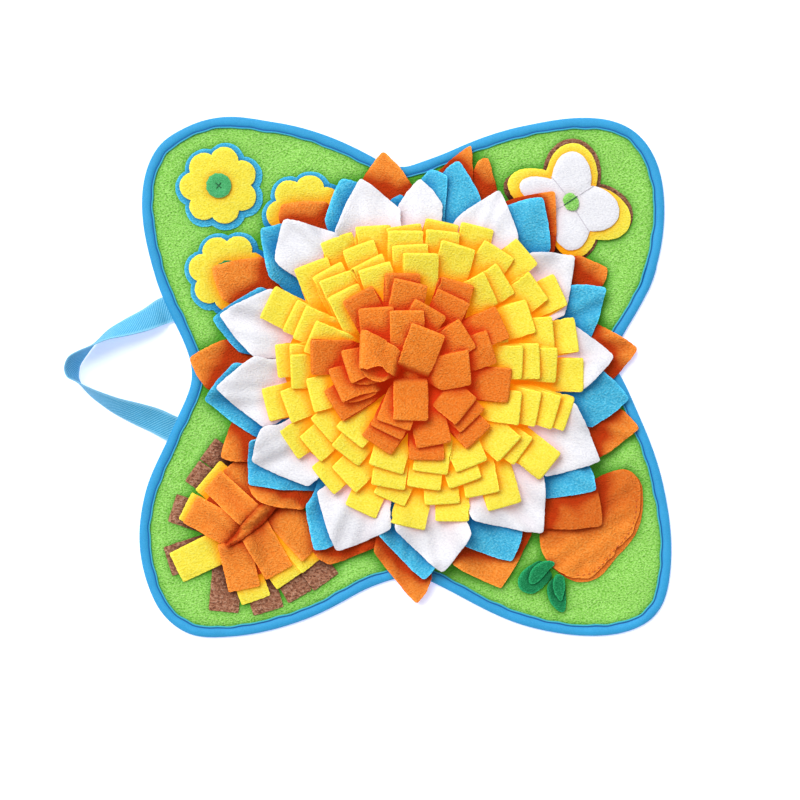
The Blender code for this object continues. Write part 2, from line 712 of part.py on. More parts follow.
def make_loops():
    for name, count, first, root, tip, height in LOOP_ROWS:
        points = []
        faces = []
        for i in range(count):
            uneven = 1.6 * math.sin(2.4 * i + root)
            more, caps = loop_solid(first + 360 * i / count, count, root, tip + uneven, height)
            faces += [tuple(corner + len(points) for corner in cap) for cap in caps]
            points += more
        slot = name.split("_")[1] + "_fleece"
        loops = make_piece(name, slot, points, faces)
        low = LEVEL_1
        high = LEVEL_1 + LOOP_BAND_THICK
        section = (
            (root - LOOP_BAND, low), (root + LOOP_BAND, low),
            (root + LOOP_BAND, high), (root - LOOP_BAND, high),
        )
        corner_share = 1 / math.cos(math.pi / count)
        rings = []
        for flat_reach, z in section:
            reach = flat_reach * corner_share
            rings.append([(*polar(first + 360 * (i + 0.5) / count, reach), z) for i in range(count)])
        band = swept_ring(f"{name}_band", slot, rings)
        band.hide_render = True
        band.display_type = "WIRE"
        combine(loops, band, "UNION")


clear_scene()
make_edge_and_hand_loop()
make_flowers()
make_butterfly()
make_gathered_strips()
make_carrot()
make_petals()
make_loops()
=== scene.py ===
# %% [markdown]
# # A snuffle mat in fleece
#
# This lesson dresses a snuffle mat: a fleece mat in which small treats are hidden for a pet to
# sniff out. It has a bound edge, a webbing hand loop, a flower of folded fleece loops on three
# rings of petals, and sewn pieces in its four corners. Lengths are in millimetres in the tables
# and become metres where a mesh is made. The origin is under the middle of the flower, +X runs
# away from the hand loop and +Z is up.
#
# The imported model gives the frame. Every piece made here is laid in the place of one of its
# solids and rides on its one body.

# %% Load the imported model
import math

import bmesh
import bpy
import numpy as np
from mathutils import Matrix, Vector
from mathutils.geometry import delaunay_2d_cdt


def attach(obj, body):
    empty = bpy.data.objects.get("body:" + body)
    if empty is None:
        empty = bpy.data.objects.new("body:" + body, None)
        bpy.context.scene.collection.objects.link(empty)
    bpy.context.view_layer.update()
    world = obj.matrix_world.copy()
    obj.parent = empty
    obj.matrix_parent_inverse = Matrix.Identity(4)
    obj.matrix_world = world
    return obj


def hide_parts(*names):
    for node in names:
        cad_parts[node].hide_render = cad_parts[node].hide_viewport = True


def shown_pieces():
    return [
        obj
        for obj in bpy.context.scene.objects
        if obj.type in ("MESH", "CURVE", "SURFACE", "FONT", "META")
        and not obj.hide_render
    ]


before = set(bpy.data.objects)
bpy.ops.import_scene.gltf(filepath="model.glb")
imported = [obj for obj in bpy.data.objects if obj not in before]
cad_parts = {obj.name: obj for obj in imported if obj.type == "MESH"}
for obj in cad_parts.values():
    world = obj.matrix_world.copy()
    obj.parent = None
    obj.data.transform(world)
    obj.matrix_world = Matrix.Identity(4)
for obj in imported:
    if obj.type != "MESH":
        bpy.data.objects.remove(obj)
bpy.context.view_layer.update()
MM = 0.001
rng = np.random.default_rng(11)

# %% [markdown]
# ## Camera, floor and light
#
# The mat is seen from straight above with a long lens, so that near and far parts keep their
# sizes. A studio picture of cloth is mostly lit by large soft sources. Here an even sky does
# about half of it, and one broad distant lamp above the upper left shows the pile and gives
# each loop a darker side. A distant lamp lights the whole floor alike.

# %% Camera, floor and light
VIEW_MIDDLE = (-12.35, -22.8)
VIEW_WIDE = 760.0
LENS = 100.0
SENSOR = 36.0
SKY_STRENGTH = 0.51
LAMP_STRENGTH = 2.6
LAMP_ANGLE = 40
LAMP_AIM = (0.62, -0.78, -1.35)

scene = bpy.context.scene
scene.view_settings.view_transform = "Standard"
camera = bpy.data.objects.new("camera", bpy.data.cameras.new("camera"))
camera.data.lens = LENS
camera.data.sensor_width = SENSOR
camera.data.clip_end = 20.0
camera_height = VIEW_WIDE * LENS / SENSOR
camera.location = (VIEW_MIDDLE[0] * MM, VIEW_MIDDLE[1] * MM, camera_height * MM)
scene.collection.objects.link(camera)
scene.camera = camera

world = bpy.data.worlds.new("soft_studio")
world.use_nodes = True
world.node_tree.nodes["Background"].inputs["Color"].default_value = (1.0, 1.0, 1.0, 1.0)
world.node_tree.nodes["Background"].inputs["Strength"].default_value = SKY_STRENGTH
scene.world = world

lamp_data = bpy.data.lights.new("soft_key", "SUN")
lamp_data.energy = LAMP_STRENGTH
lamp_data.angle = math.radians(LAMP_ANGLE)
lamp = bpy.data.objects.new("soft_key", lamp_data)
lamp.rotation_euler = Vector(LAMP_AIM).to_track_quat("-Z", "Y").to_euler()
scene.collection.objects.link(lamp)
print("camera height in mm:", round(camera_height))

# %% [markdown]
# ## Colour and one node helper
#
# Dyed cloth is named by its screen colour, an sRGB hex value. A shader needs linear light, so
# one function converts every colour. Materials are built from nodes with one small function
# that adds a node, sets its values and links its inputs.

# %% Colour and one node helper
def linear(hex_colour):
    """An sRGB hex colour as linear red, green, blue and alpha."""
    parts = [int(hex_colour[i:i + 2], 16) / 255 for i in (1, 3, 5)]
    return (*[p / 12.92 if p <= 0.04045 else ((p + 0.055) / 1.055) ** 2.4 for p in parts], 1.0)


def add_node(tree, kind, links=None, **settings):
    """A node of this kind, with its settings, and its inputs linked or set."""
    node = tree.nodes.new(kind)
    for name, value in settings.items():
        setattr(node, name, value)
    for socket, source in (links or {}).items():
        if isinstance(source, bpy.types.NodeSocket):
            tree.links.new(source, node.inputs[socket])
        else:
            node.inputs[socket].default_value = source
    return node


def blank_material(name, roughness):
    """A new material with its node tree and its one shader. Polyester's IOR is near 1.5."""
    made = bpy.data.materials.new(name)
    made.use_nodes = True
    shader = made.node_tree.nodes["Principled BSDF"]
    shader.inputs["Roughness"].default_value = roughness
    shader.inputs["IOR"].default_value = 1.5
    return made, made.node_tree, shader


print("the loops' yellow in linear light:", [round(part, 2) for part in linear("#F6E54A")])

# %% [markdown]
# ## Fleece and felt
#
# Polyester fleece is knitted, then brushed until its surface is a mat of short curled tufts.
# The eye reads that as a fine grain with soft darker pits, no gloss, and a pale bloom where the
# surface turns away. Tufts are about 1 mm across, too fine to show at this distance, so they are
# drawn 1.6 to 2.2 mm across on fleece and 1.1 to 1.6 mm on felt, a little longer than wide, all
# leaning one way as brushing leaves them. One noise raises and colours them, and a wide slow
# noise keeps a large piece from looking printed. A cut edge is drawn paler, partly for the paler
# inside of the cloth and partly as a painted highlight, which a loop's fold also gets. A deep
# crease gets a painted shade, a darker, fuller colour. Sheen gives the bloom.
#
# Orange comes in two finishes. The loops stand close together, and their creases get a painted
# glow for the light that bounces between them. The petals and the other flat pieces get hardly
# any.

# %% Fleece and felt
CLOUD_WIDE = 34.0


def fleece(name, colour, pit, tip, shade, grain=1.5, depth=0.9, lean=35, painted_glow=0.1, cut=0.3):
    """Brushed cloth: tufts of this size in mm, which stand this high in mm, and lean this way.

    pit and tip are the pile's darkest and palest colours, and shade is a painted shade deep in a
    crease, which also gets a painted glow of the share given. cut is how much paler a cut edge
    is: partly the paler inside of the cloth and partly a painted highlight.
    """
    made, tree, shader = blank_material(name, 0.95)
    place = add_node(tree, "ShaderNodeTexCoord").outputs["Object"]
    place = add_node(tree, "ShaderNodeMapping", {
        "Vector": place, "Rotation": (0, 0, math.radians(lean)), "Scale": (0.85, 1.2, 1.0),
    }).outputs[0]
    tuft = add_node(tree, "ShaderNodeTexNoise", {
        "Vector": place, "Scale": 1000 / grain, "Detail": 2.0, "Roughness": 0.6,
    }).outputs["Fac"]
    cloud = add_node(tree, "ShaderNodeTexNoise", {
        "Vector": place, "Scale": 1000 / CLOUD_WIDE, "Detail": 3.0, "Roughness": 0.55,
    }).outputs["Fac"]
    ramp = add_node(tree, "ShaderNodeValToRGB", {"Fac": tuft})
    ramp.color_ramp.elements[0].position = 0.32
    ramp.color_ramp.elements[0].color = linear(pit)
    ramp.color_ramp.elements[1].position = 0.68
    ramp.color_ramp.elements[1].color = linear(tip)
    middle = ramp.color_ramp.elements.new(0.5)
    middle.color = linear(colour)
    worn = add_node(tree, "ShaderNodeMapRange", {
        "Value": cloud, "From Min": 0.3, "From Max": 0.7, "To Min": 0.94, "To Max": 1.04,
    }).outputs["Result"]
    # A paler edge: partly the cloth's paler inside at a cut and partly a painted highlight.
    edge = add_node(tree, "ShaderNodeAttribute", attribute_name="edge_paleness_and_painted_light").outputs["Fac"]
    edge = add_node(tree, "ShaderNodeMath", {0: edge, 1: 1.5}, operation="POWER").outputs[0]
    worn = add_node(
        tree, "ShaderNodeMath", {0: edge, 1: cut, 2: worn}, operation="MULTIPLY_ADD"
    ).outputs[0]
    dye_and_painted_shade = add_node(tree, "ShaderNodeVectorMath", {0: ramp.outputs["Color"], "Scale": worn},
                    operation="SCALE").outputs["Vector"]
    # Painted shade: deep in a crease the colour turns to the shade colour.
    deep = add_node(tree, "ShaderNodeAttribute", attribute_name="painted_crease_shade").outputs["Fac"]
    dye_and_painted_shade = add_node(tree, "ShaderNodeMix", {"Factor": deep, "A": dye_and_painted_shade, "B": linear(shade)},
                    data_type="RGBA").outputs["Result"]
    tree.links.new(dye_and_painted_shade, shader.inputs["Base Color"])
    # Painted glow: the shade colour glows in a deep crease, standing in for light bounced between the
    # cloths.
    painted_bounce_glow = add_node(tree, "ShaderNodeMath", {0: deep, 1: 2.0}, operation="POWER").outputs[0]
    painted_bounce_glow = add_node(tree, "ShaderNodeMath", {0: painted_bounce_glow, 1: painted_glow}, operation="MULTIPLY").outputs[0]
    shader.inputs["Emission Color"].default_value = linear(shade)
    tree.links.new(painted_bounce_glow, shader.inputs["Emission Strength"])
    raised = add_node(tree, "ShaderNodeBump", {
        "Height": tuft, "Distance": depth * MM, "Strength": 1.0,
    }).outputs["Normal"]
    tree.links.new(raised, shader.inputs["Normal"])
    shader.inputs["Specular IOR Level"].default_value = 0.12
    shader.inputs["Sheen Weight"].default_value = 0.1
    shader.inputs["Sheen Roughness"].default_value = 0.45
    shader.inputs["Sheen Tint"].default_value = linear(tip)
    return made


# The fourth colour of each is its painted shade deep in a crease.
lime = fleece("lime_fleece", "#A1E56B", "#74C23C", "#BAF787", "#4F9E2C", grain=1.8, depth=3.0)
yellow = fleece("yellow_fleece", "#F6E54A", "#F0D93A", "#FAEE62", "#E8940E",
                grain=1.7, depth=1.4, painted_glow=0.34, cut=0.4)
orange = fleece("orange_fleece", "#FA8C2E", "#EF7B22", "#FD9E48", "#C4320A",
                grain=1.7, depth=2.2, painted_glow=0.3, cut=0.45)
flat_orange = fleece("flat_orange_fleece", "#FA9035", "#EE7E28", "#FEA34C", "#BC380A",
                     grain=1.7, depth=2.2, painted_glow=0.04, cut=0.7)
sky = fleece("sky_fleece", "#4CBDE4", "#3AA9D6", "#72D2F1", "#1270B0",
             grain=1.7, depth=2.0, painted_glow=0.12, cut=0.8)
white = fleece("white_fleece", "#E8E8EE", "#DEDEE6", "#EFEFF3", "#DCC6CC",
               grain=1.7, depth=0.9, painted_glow=0.22, cut=0.1)
brown = fleece("brown_fleece", "#AE7458", "#784836", "#CC9C82", "#3E1D12",
               grain=2.2, depth=4.0, lean=60)
dot_felt = fleece("green_felt", "#4FB470", "#43A865", "#66C486", "#1D7A44", grain=1.1, depth=1.3)
body_felt = fleece("light_green_felt", "#96DC6C", "#78C94E", "#B2EC8C", "#3F8F2E",
                   grain=1.6, depth=2.6)
leaf_felt = fleece("dark_green_felt", "#1C8650", "#147044", "#36A06A", "#083E22",
                   grain=1.1, depth=1.5, cut=1.3)
print("fleece and felt:", [m.name for m in bpy.data.materials if "fleece" in m.name or "felt" in m.name])

# %% [markdown]
# ## Woven edge tape and webbing
#
# The mat's edge is bound with a folded strip of smooth woven tape, and the hand loop is
# narrow webbing with a slanted rib. Both are dense polyester weaves with a little gloss. Their
# threads follow the strip, so each strip gets its own flat map, with the length along it as U
# and the width as V, both in metres. The tape's threads are 0.3 mm, too fine to show from
# above, so its rib is drawn at 0.9 mm; the webbing's slanted rib is drawn at 2.1 mm.

# %% Woven edge tape and webbing
def woven(name, colour, deep, pale, edge_light, seam, rib, slant, depth, roughness=0.6):
    """A woven strip: slanted ribs this far apart in mm, which stand this high in mm.

    The colour after pale is a painted light on the strip's own edge, and seam a painted shade
    down in the groove of its seam. A wave texture draws a band in each 2 pi / 20 of its scaled
    length, which gives its scale.
    """
    made, tree, shader = blank_material(name, roughness)
    flat = add_node(tree, "ShaderNodeUVMap", uv_map="strip").outputs["UV"]
    turned = add_node(tree, "ShaderNodeMapping", {
        "Vector": flat, "Rotation": (0, 0, math.radians(slant)),
    }).outputs[0]
    ribs = add_node(tree, "ShaderNodeTexWave", {
        "Vector": turned, "Scale": 1000 / rib / 6.2832 * 2, "Distortion": 1.2, "Detail": 2.0,
        "Detail Scale": 3.0,
    }, wave_type="BANDS", bands_direction="X").outputs["Fac"]
    place = add_node(tree, "ShaderNodeTexCoord").outputs["Object"]
    fuzz = add_node(tree, "ShaderNodeTexNoise", {
        "Vector": place, "Scale": 900.0, "Detail": 2.0, "Roughness": 0.6,
    }).outputs["Fac"]
    worn = add_node(tree, "ShaderNodeTexNoise", {
        "Vector": place, "Scale": 45.0, "Detail": 3.0, "Roughness": 0.5,
    }).outputs["Fac"]
    threads = add_node(tree, "ShaderNodeMath", {0: fuzz, 1: 0.5, 2: 0.0}, operation="MULTIPLY_ADD")
    threads = add_node(
        tree, "ShaderNodeMath", {0: ribs, 1: 0.5, 2: threads.outputs[0]}, operation="MULTIPLY_ADD"
    ).outputs[0]
    ramp = add_node(tree, "ShaderNodeValToRGB", {"Fac": threads})
    ramp.color_ramp.elements[0].position = 0.18
    ramp.color_ramp.elements[0].color = linear(deep)
    ramp.color_ramp.elements[1].position = 0.82
    ramp.color_ramp.elements[1].color = linear(pale)
    middle = ramp.color_ramp.elements.new(0.5)
    middle.color = linear(colour)
    faded = add_node(tree, "ShaderNodeMapRange", {
        "Value": worn, "From Min": 0.3, "From Max": 0.7, "To Min": 0.94, "To Max": 1.05,
    }).outputs["Result"]
    shade = add_node(tree, "ShaderNodeVectorMath", {0: ramp.outputs["Color"], "Scale": faded},
                     operation="SCALE").outputs["Vector"]
    # Painted light on the tape's lip and on the webbing's edges, and painted shade in the groove of the
    # tape's seam.
    edge = add_node(tree, "ShaderNodeAttribute", attribute_name="edge_paleness_and_painted_light").outputs["Fac"]
    painted_edge_light = add_node(tree, "ShaderNodeMath", {0: edge, 1: 1.0}, operation="MULTIPLY",
                      use_clamp=True).outputs[0]
    painted_groove_shade = add_node(tree, "ShaderNodeMath", {0: edge, 1: -1.0}, operation="MULTIPLY",
                       use_clamp=True).outputs[0]
    shade = add_node(tree, "ShaderNodeMix", {"Factor": painted_edge_light, "A": shade, "B": linear(edge_light)},
                     data_type="RGBA").outputs["Result"]
    shade = add_node(tree, "ShaderNodeMix", {"Factor": painted_groove_shade, "A": shade, "B": linear(seam)},
                     data_type="RGBA").outputs["Result"]
    tree.links.new(shade, shader.inputs["Base Color"])
    raised = add_node(tree, "ShaderNodeBump", {
        "Height": threads, "Distance": depth * MM, "Strength": 0.8,
    }).outputs["Normal"]
    tree.links.new(raised, shader.inputs["Normal"])
    shader.inputs["Specular IOR Level"].default_value = 0.3
    shader.inputs["Sheen Weight"].default_value = 0.05
    return made


def thread(name, colour, deep):
    """Twisted polyester sewing thread, with its twist drawn at 0.5 mm."""
    made, tree, shader = blank_material(name, 0.45)
    place = add_node(tree, "ShaderNodeTexCoord").outputs["Object"]
    twist = add_node(tree, "ShaderNodeTexNoise", {
        "Vector": place, "Scale": 2000.0, "Detail": 1.0,
    }).outputs["Fac"]
    ramp = add_node(tree, "ShaderNodeValToRGB", {"Fac": twist})
    ramp.color_ramp.elements[0].color = linear(deep)
    ramp.color_ramp.elements[1].color = linear(colour)
    tree.links.new(ramp.outputs["Color"], shader.inputs["Base Color"])
    raised = add_node(tree, "ShaderNodeBump", {
        "Height": twist, "Distance": 0.15 * MM, "Strength": 0.6,
    }).outputs["Normal"]
    tree.links.new(raised, shader.inputs["Normal"])
    return made


# The fifth colour of each is a painted light, on the tape's lip and on the webbing's edges; the sixth is
# a painted shade in the groove of the tape's seam.
tape = woven("blue_edge_tape", "#289ED6", "#1A86C4", "#42AEE2", "#46B6BC", "#0D5C9E",
             rib=0.9, slant=0, depth=0.12)
webbing = woven("blue_webbing", "#4FB2DF", "#3494C8", "#7CCAEC", "#8AD0F2", "#2A86BC",
                rib=2.1, slant=38, depth=0.35)
orange_thread = thread("orange_thread", "#D8661E", "#B84E16")
green_thread = thread("green_thread", "#14643A", "#0C4426")
grey_thread = thread("grey_thread", "#D8D4DB", "#BBB6C2")
print("woven:", tape.name, webbing.name)

# %% [markdown]
# ## A map of heights, and cloth laid on it
#
# A snuffle mat is a pile of soft pieces, each lying on the ones below. A cloth simulation of a
# hundred folded pieces would be slow and hard to steer. Laying them one by one is how the
# maker works too: a map holds the height of whatever lies highest at each spot, a new piece
# rests on the map and bridges over steps as stiff cloth does, and the map then takes the
# piece's upper face. Nothing passes through its neighbour, and the order of the pile is the
# order of the calls.

# %% A map of heights, and cloth laid on it
CELL = 1.25
WEST, SOUTH = -365.0, -280.0
MAP_CELLS = (524, 452)
REST_GAP = 0.25
heights = np.zeros(MAP_CELLS)


def cells(spots):
    """Which cells of the map these spots in plan fall in."""
    at = np.rint((np.asarray(spots)[:, :2] - (WEST, SOUTH)) / CELL).astype(int)
    return tuple(np.clip(at, 0, np.array(MAP_CELLS) - 1).T)


def highest_near(spots, spread):
    """The highest surface within this many mm of each spot."""
    found = heights[cells(spots)]
    for away in (0.5 * spread, spread):
        for turn in np.arange(8) * math.pi / 4:
            step = (away * math.cos(turn), away * math.sin(turn))
            found = np.maximum(found, heights[cells(spots + step)])
    return found


def raise_map(spots, tops, triangles):
    """Takes a piece's upper face into the map, at spots spread evenly over each triangle."""
    corners = spots[triangles]
    levels = tops[triangles]
    parts = 7
    for i in range(parts + 1):
        for j in range(parts + 1 - i):
            share = np.array((i, j, parts - i - j)) / parts
            np.maximum.at(heights, cells(np.einsum("k,mkc->mc", share, corners)), levels @ share)


def neighbour_mean(values, edges, degree):
    """The mean of the values at the corners that share an edge with each corner."""
    total = np.zeros(len(values))
    np.add.at(total, edges[:, 0], values[edges[:, 1]])
    np.add.at(total, edges[:, 1], values[edges[:, 0]])
    return total / degree


def laid(spots, triangles, lowest, steps, soften):
    """The underside of a sheet that rests on the map, bridging over steps."""
    edges = np.unique(np.sort(np.vstack([triangles[:, [0, 1]], triangles[:, [1, 2]],
                                         triangles[:, [2, 0]]]), axis=1), axis=0)
    degree = np.bincount(edges.ravel(), minlength=len(spots))
    rest = np.maximum(highest_near(spots, 2.0) + REST_GAP, lowest)
    under = rest.copy()
    for _ in range(steps):
        under = np.maximum(rest, 0.4 * under + 0.6 * neighbour_mean(under, edges, degree))
    for _ in range(soften):
        under = 0.5 * under + 0.5 * neighbour_mean(under, edges, degree)
    return under


print("map cells:", heights.size)

# %% [markdown]
# ## Cutting a sheet
#
# A cut piece is an outline with an even net of triangles inside, so that it can bend anywhere.
# The net's rows stand 0.87 of its spacing apart, which makes the triangles equal-sided. Brushed
# cloth has no crisp corner at its cut edge: the pile rounds it. Each sheet therefore has a
# middle rim that stands a little out from its two faces, and a rim that wavers by a few tenths
# of a millimetre, as scissors leave it.

# %% Cutting a sheet
ROW_SHARE = 0.87


def evenly(outline, spacing):
    """A closed outline with its corners kept and points added between them."""
    points = []
    for here, after in zip(outline, outline[1:] + outline[:1]):
        parts = max(1, round(math.dist(here, after) / spacing))
        for i in range(parts):
            share = i / parts
            points.append((here[0] + (after[0] - here[0]) * share,
                           here[1] + (after[1] - here[1]) * share))
    return points


def inside(spots, outline):
    """Which spots lie inside a closed outline."""
    x, y = spots.T
    found = np.zeros(len(spots), bool)
    for (x0, y0), (x1, y1) in zip(outline, outline[1:] + outline[:1]):
        crosses = (y0 > y) != (y1 > y)
        with np.errstate(divide="ignore", invalid="ignore"):
            found ^= crosses & (x < (x1 - x0) * (y - y0) / (y1 - y0) + x0)
    return found


def cut(outline, spacing=4.0, waver=0.12):
    """A sheet's spots and triangles."""
    edge = np.array(evenly(outline, spacing * 0.7))
    x, y = edge.T
    if (x * np.roll(y, -1) - y * np.roll(x, -1)).sum() < 0:
        edge = edge[::-1]
    edge = edge + rng.normal(0, waver, edge.shape)
    low, high = edge.min(0), edge.max(0)
    columns = np.arange(low[0], high[0], spacing)
    rows = np.arange(low[1], high[1], spacing * ROW_SHARE)
    net = np.array([(x + 0.5 * spacing * (j % 2), y) for j, y in enumerate(rows) for x in columns])
    net = net + rng.uniform(-0.12, 0.12, net.shape) * spacing
    net = net[inside(net, [tuple(p) for p in edge])]
    clear = np.array([np.hypot(*(edge - spot).T).min() > 0.55 * spacing for spot in net])
    net = net[clear] if len(net) else net
    spots = [Vector(spot) for spot in np.vstack([edge, net])]
    flat, _, triangles, _, _, covers = delaunay_2d_cdt(
        spots, [], [list(range(len(edge)))], 1, 1e-4
    )
    triangles = np.array([t for t, cover in zip(triangles, covers) if cover])
    used, triangles = np.unique(triangles, return_inverse=True)
    return np.array([(flat[i].x, flat[i].y) for i in used]), triangles.reshape(-1, 3)


def rim_of(triangles):
    """A sheet's edge as pairs of corners, counter-clockwise."""
    pairs = set()
    for a, b, c in triangles.tolist():
        for pair in ((a, b), (b, c), (c, a)):
            if (pair[1], pair[0]) in pairs:
                pairs.remove((pair[1], pair[0]))
            else:
                pairs.add(pair)
    return np.array(sorted(pairs))


def soft_sheet(spots, triangles, under, thick):
    """Points and faces of a sheet with a rounded edge. A fourth column is 1 at the cut."""
    count = len(spots)
    thick = np.broadcast_to(np.asarray(thick, float), count)
    rim = rim_of(triangles)
    away = np.zeros((count, 2))
    run = spots[rim[:, 1]] - spots[rim[:, 0]]
    outward = np.stack([run[:, 1], -run[:, 0]], axis=1)
    np.add.at(away, rim[:, 0], outward)
    np.add.at(away, rim[:, 1], outward)
    on_rim = np.unique(rim)
    away[on_rim] /= np.maximum(np.hypot(*away[on_rim].T), 1e-6)[:, None]
    top = under + thick
    low = under.copy()
    top[on_rim] -= 0.32 * thick[on_rim]
    low[on_rim] += 0.12 * thick[on_rim]
    middle = spots + away * 0.4 * thick[:, None]
    # The cut edge is drawn paler, partly for the cloth's paler inside and partly as a painted highlight.
    worn = np.zeros(count)
    worn[on_rim] = 0.6
    points = np.vstack([
        np.column_stack([spots, top, worn]), np.column_stack([spots, low, worn]),
        np.column_stack([middle, under + 0.42 * thick, np.ones(count)])[on_rim],
    ])
    at = {corner: 2 * count + i for i, corner in enumerate(on_rim.tolist())}
    faces = triangles.tolist()
    faces += [(c + count, b + count, a + count) for a, b, c in triangles.tolist()]
    for a, b in rim.tolist():
        faces.append((a, at[a], at[b], b))
        faces.append((at[a], a + count, b + count, at[b]))
    return points, faces


def plan_area(spots, triangles):
    """A flat sheet's area in mm2."""
    a, b, c = (spots[triangles[:, i]] for i in range(3))
    return 0.5 * np.abs((b - a)[:, 0] * (c - a)[:, 1] - (b - a)[:, 1] * (c - a)[:, 0]).sum()


def lay(outline, thick, spacing=4.0, shape=None, lowest=0.0, steps=8, soften=3, press=0.0):
    """One cut sheet laid on the map: its points, its faces and its flat area.

    shape(spots) raises it, lowest is the least height of its underside, steps and soften are
    rounds of bridging and of smoothing, and press is how far in mm the pile of the two cloths
    may press into each other, which keeps a soft drape from taking the sharp steps below it.
    """
    spots, triangles = cut(outline, spacing)
    raised = 0.0 if shape is None else shape(spots)
    if press:
        under = laid(spots, triangles, lowest, steps, soften) + raised
        under = np.maximum(under, highest_near(spots, 0.8) + REST_GAP - press)
    else:
        under = laid(spots, triangles, np.asarray(lowest + raised), steps, soften)
        if shape is not None:
            under = np.maximum(under, highest_near(spots, 1.2) + REST_GAP + raised)
    raise_map(spots, under + thick, triangles)
    return *soft_sheet(spots, triangles, under, thick), plan_area(spots, triangles)


corner_cut = np.array(((0.0, 0.0), (10.0, 0.0), (0.0, 10.0)))
print("mm2 in half of a 10 mm square:", plan_area(corner_cut, np.array([[0, 1, 2]])))

# %% [markdown]
# ## From points to a piece
#
# Each colour of cloth that a maker sews on as one part becomes one object. It takes its
# finish, hides the solid that it stands for, and states the cloth that it was cut from: its spans
# where it lies flat, or else a strip of its width that is long enough for its flat area.

# %% From points to a piece
CUTTING_LOSS = 1.02


def make_piece(name, solids, material, node=None, smooth=60):
    """One object from several closed bodies, each (points in mm, faces)."""
    points = []
    faces = []
    worn = []
    for more, caps in solids:
        faces += [[corner + len(points) for corner in cap] for cap in caps]
        points += [tuple(point) for point in np.asarray(more)[:, :3] * MM]
        worn += list(more[:, 3]) if more.shape[1] > 3 else [0.0] * len(more)
    mesh = bpy.data.meshes.new(name)
    mesh.from_pydata(points, [], faces)
    work = bmesh.new()
    work.from_mesh(mesh)
    bmesh.ops.recalc_face_normals(work, faces=work.faces)
    work.to_mesh(mesh)
    work.free()
    mesh.shade_smooth()
    mesh.set_sharp_from_angle(angle=math.radians(smooth))
    # The fourth column is a paler edge, partly the cloth's paler inside and partly a painted highlight.
    # On the tape it is painted light on its lip and painted shade in its groove.
    mesh.attributes.new("edge_paleness_and_painted_light", "FLOAT", "POINT").data.foreach_set("value", worn)
    mesh.materials.append(material)
    piece = bpy.data.objects.new(name, mesh)
    scene.collection.objects.link(piece)
    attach(piece, "root")
    if node:
        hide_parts(node)
    return piece


def state_flat(piece, wide, long):
    """Says what size a piece of cloth was cut to, in mm."""
    print(f"{piece.name}: {len(piece.data.polygons)} faces, cut flat {wide:.0f} x {long:.0f} mm")


def cut_from(piece, area, wide):
    """A piece cut from a strip of this width, with a little lost between the cuts."""
    state_flat(piece, wide, area / wide * CUTTING_LOSS)


def cut_out(piece):
    """A piece cut to its outline and laid flat, so its spans in plan are its flat size."""
    places = np.array([v.co[:2] for v in piece.data.vertices]) / MM
    wide, long = np.ptp(places, axis=0)
    state_flat(piece, float(wide), float(long))


def polar(direction, reach, middle=(0.0, 0.0)):
    """The spot at this direction in degrees and this reach from a middle."""
    angle = math.radians(direction)
    return (middle[0] + reach * math.cos(angle), middle[1] + reach * math.sin(angle))


def direction_of(away):
    """The direction in degrees of each row of x and y."""
    return np.degrees(np.arctan2(away[:, 1], away[:, 0]))


def smooth_step(low, high, value):
    """0 below low, 1 above high, and an even S between them."""
    t = np.clip((value - low) / (high - low), 0.0, 1.0)
    return t * t * (3 - 2 * t)


def rounded(corners, radius, parts=4):
    """An outline with its corners rounded, each over this length of its sides."""
    points = []
    for i, corner in enumerate(corners):
        here = Vector(corner)
        before = Vector(corners[i - 1]) - here
        after = Vector(corners[(i + 1) % len(corners)]) - here
        start = here + before.normalized() * min(radius, 0.45 * before.length)
        end = here + after.normalized() * min(radius, 0.45 * after.length)
        for step in range(parts + 1):
            t = step / parts
            spot = start * (1 - t) ** 2 + here * 2 * t * (1 - t) + end * t * t
            points.append((spot.x, spot.y))
    return points


def unit(vectors):
    """A net of vectors, each made one long."""
    return vectors / np.linalg.norm(vectors, axis=2)[..., None]


def ring_faces(stations, corners, closed=False):
    """The faces of a run of rings with this many corners, with an end cap each unless closed."""
    faces = []
    if not closed:
        last = corners * (stations - 1)
        faces = [list(range(corners)), [last + c for c in reversed(range(corners))]]
    for s in range(stations if closed else stations - 1):
        here, after = corners * s, corners * ((s + 1) % stations)
        for c in range(corners):
            d = (c + 1) % corners
            faces.append((here + c, after + c, after + d, here + d))
    return faces


print("faces of a four-cornered rod with two rings:", len(ring_faces(2, 4)))

# %% [markdown]
# ## The mat
#
# The mat is one sheet of lime fleece, about 3 mm thick, with four lobes. Its edge is a smooth
# closed curve through rows of direction and reach, as in the solid. A few low wrinkles run out
# from under the flower, the cloth puckers beside the gathered seam, and the sheet is thinner
# under its binding.

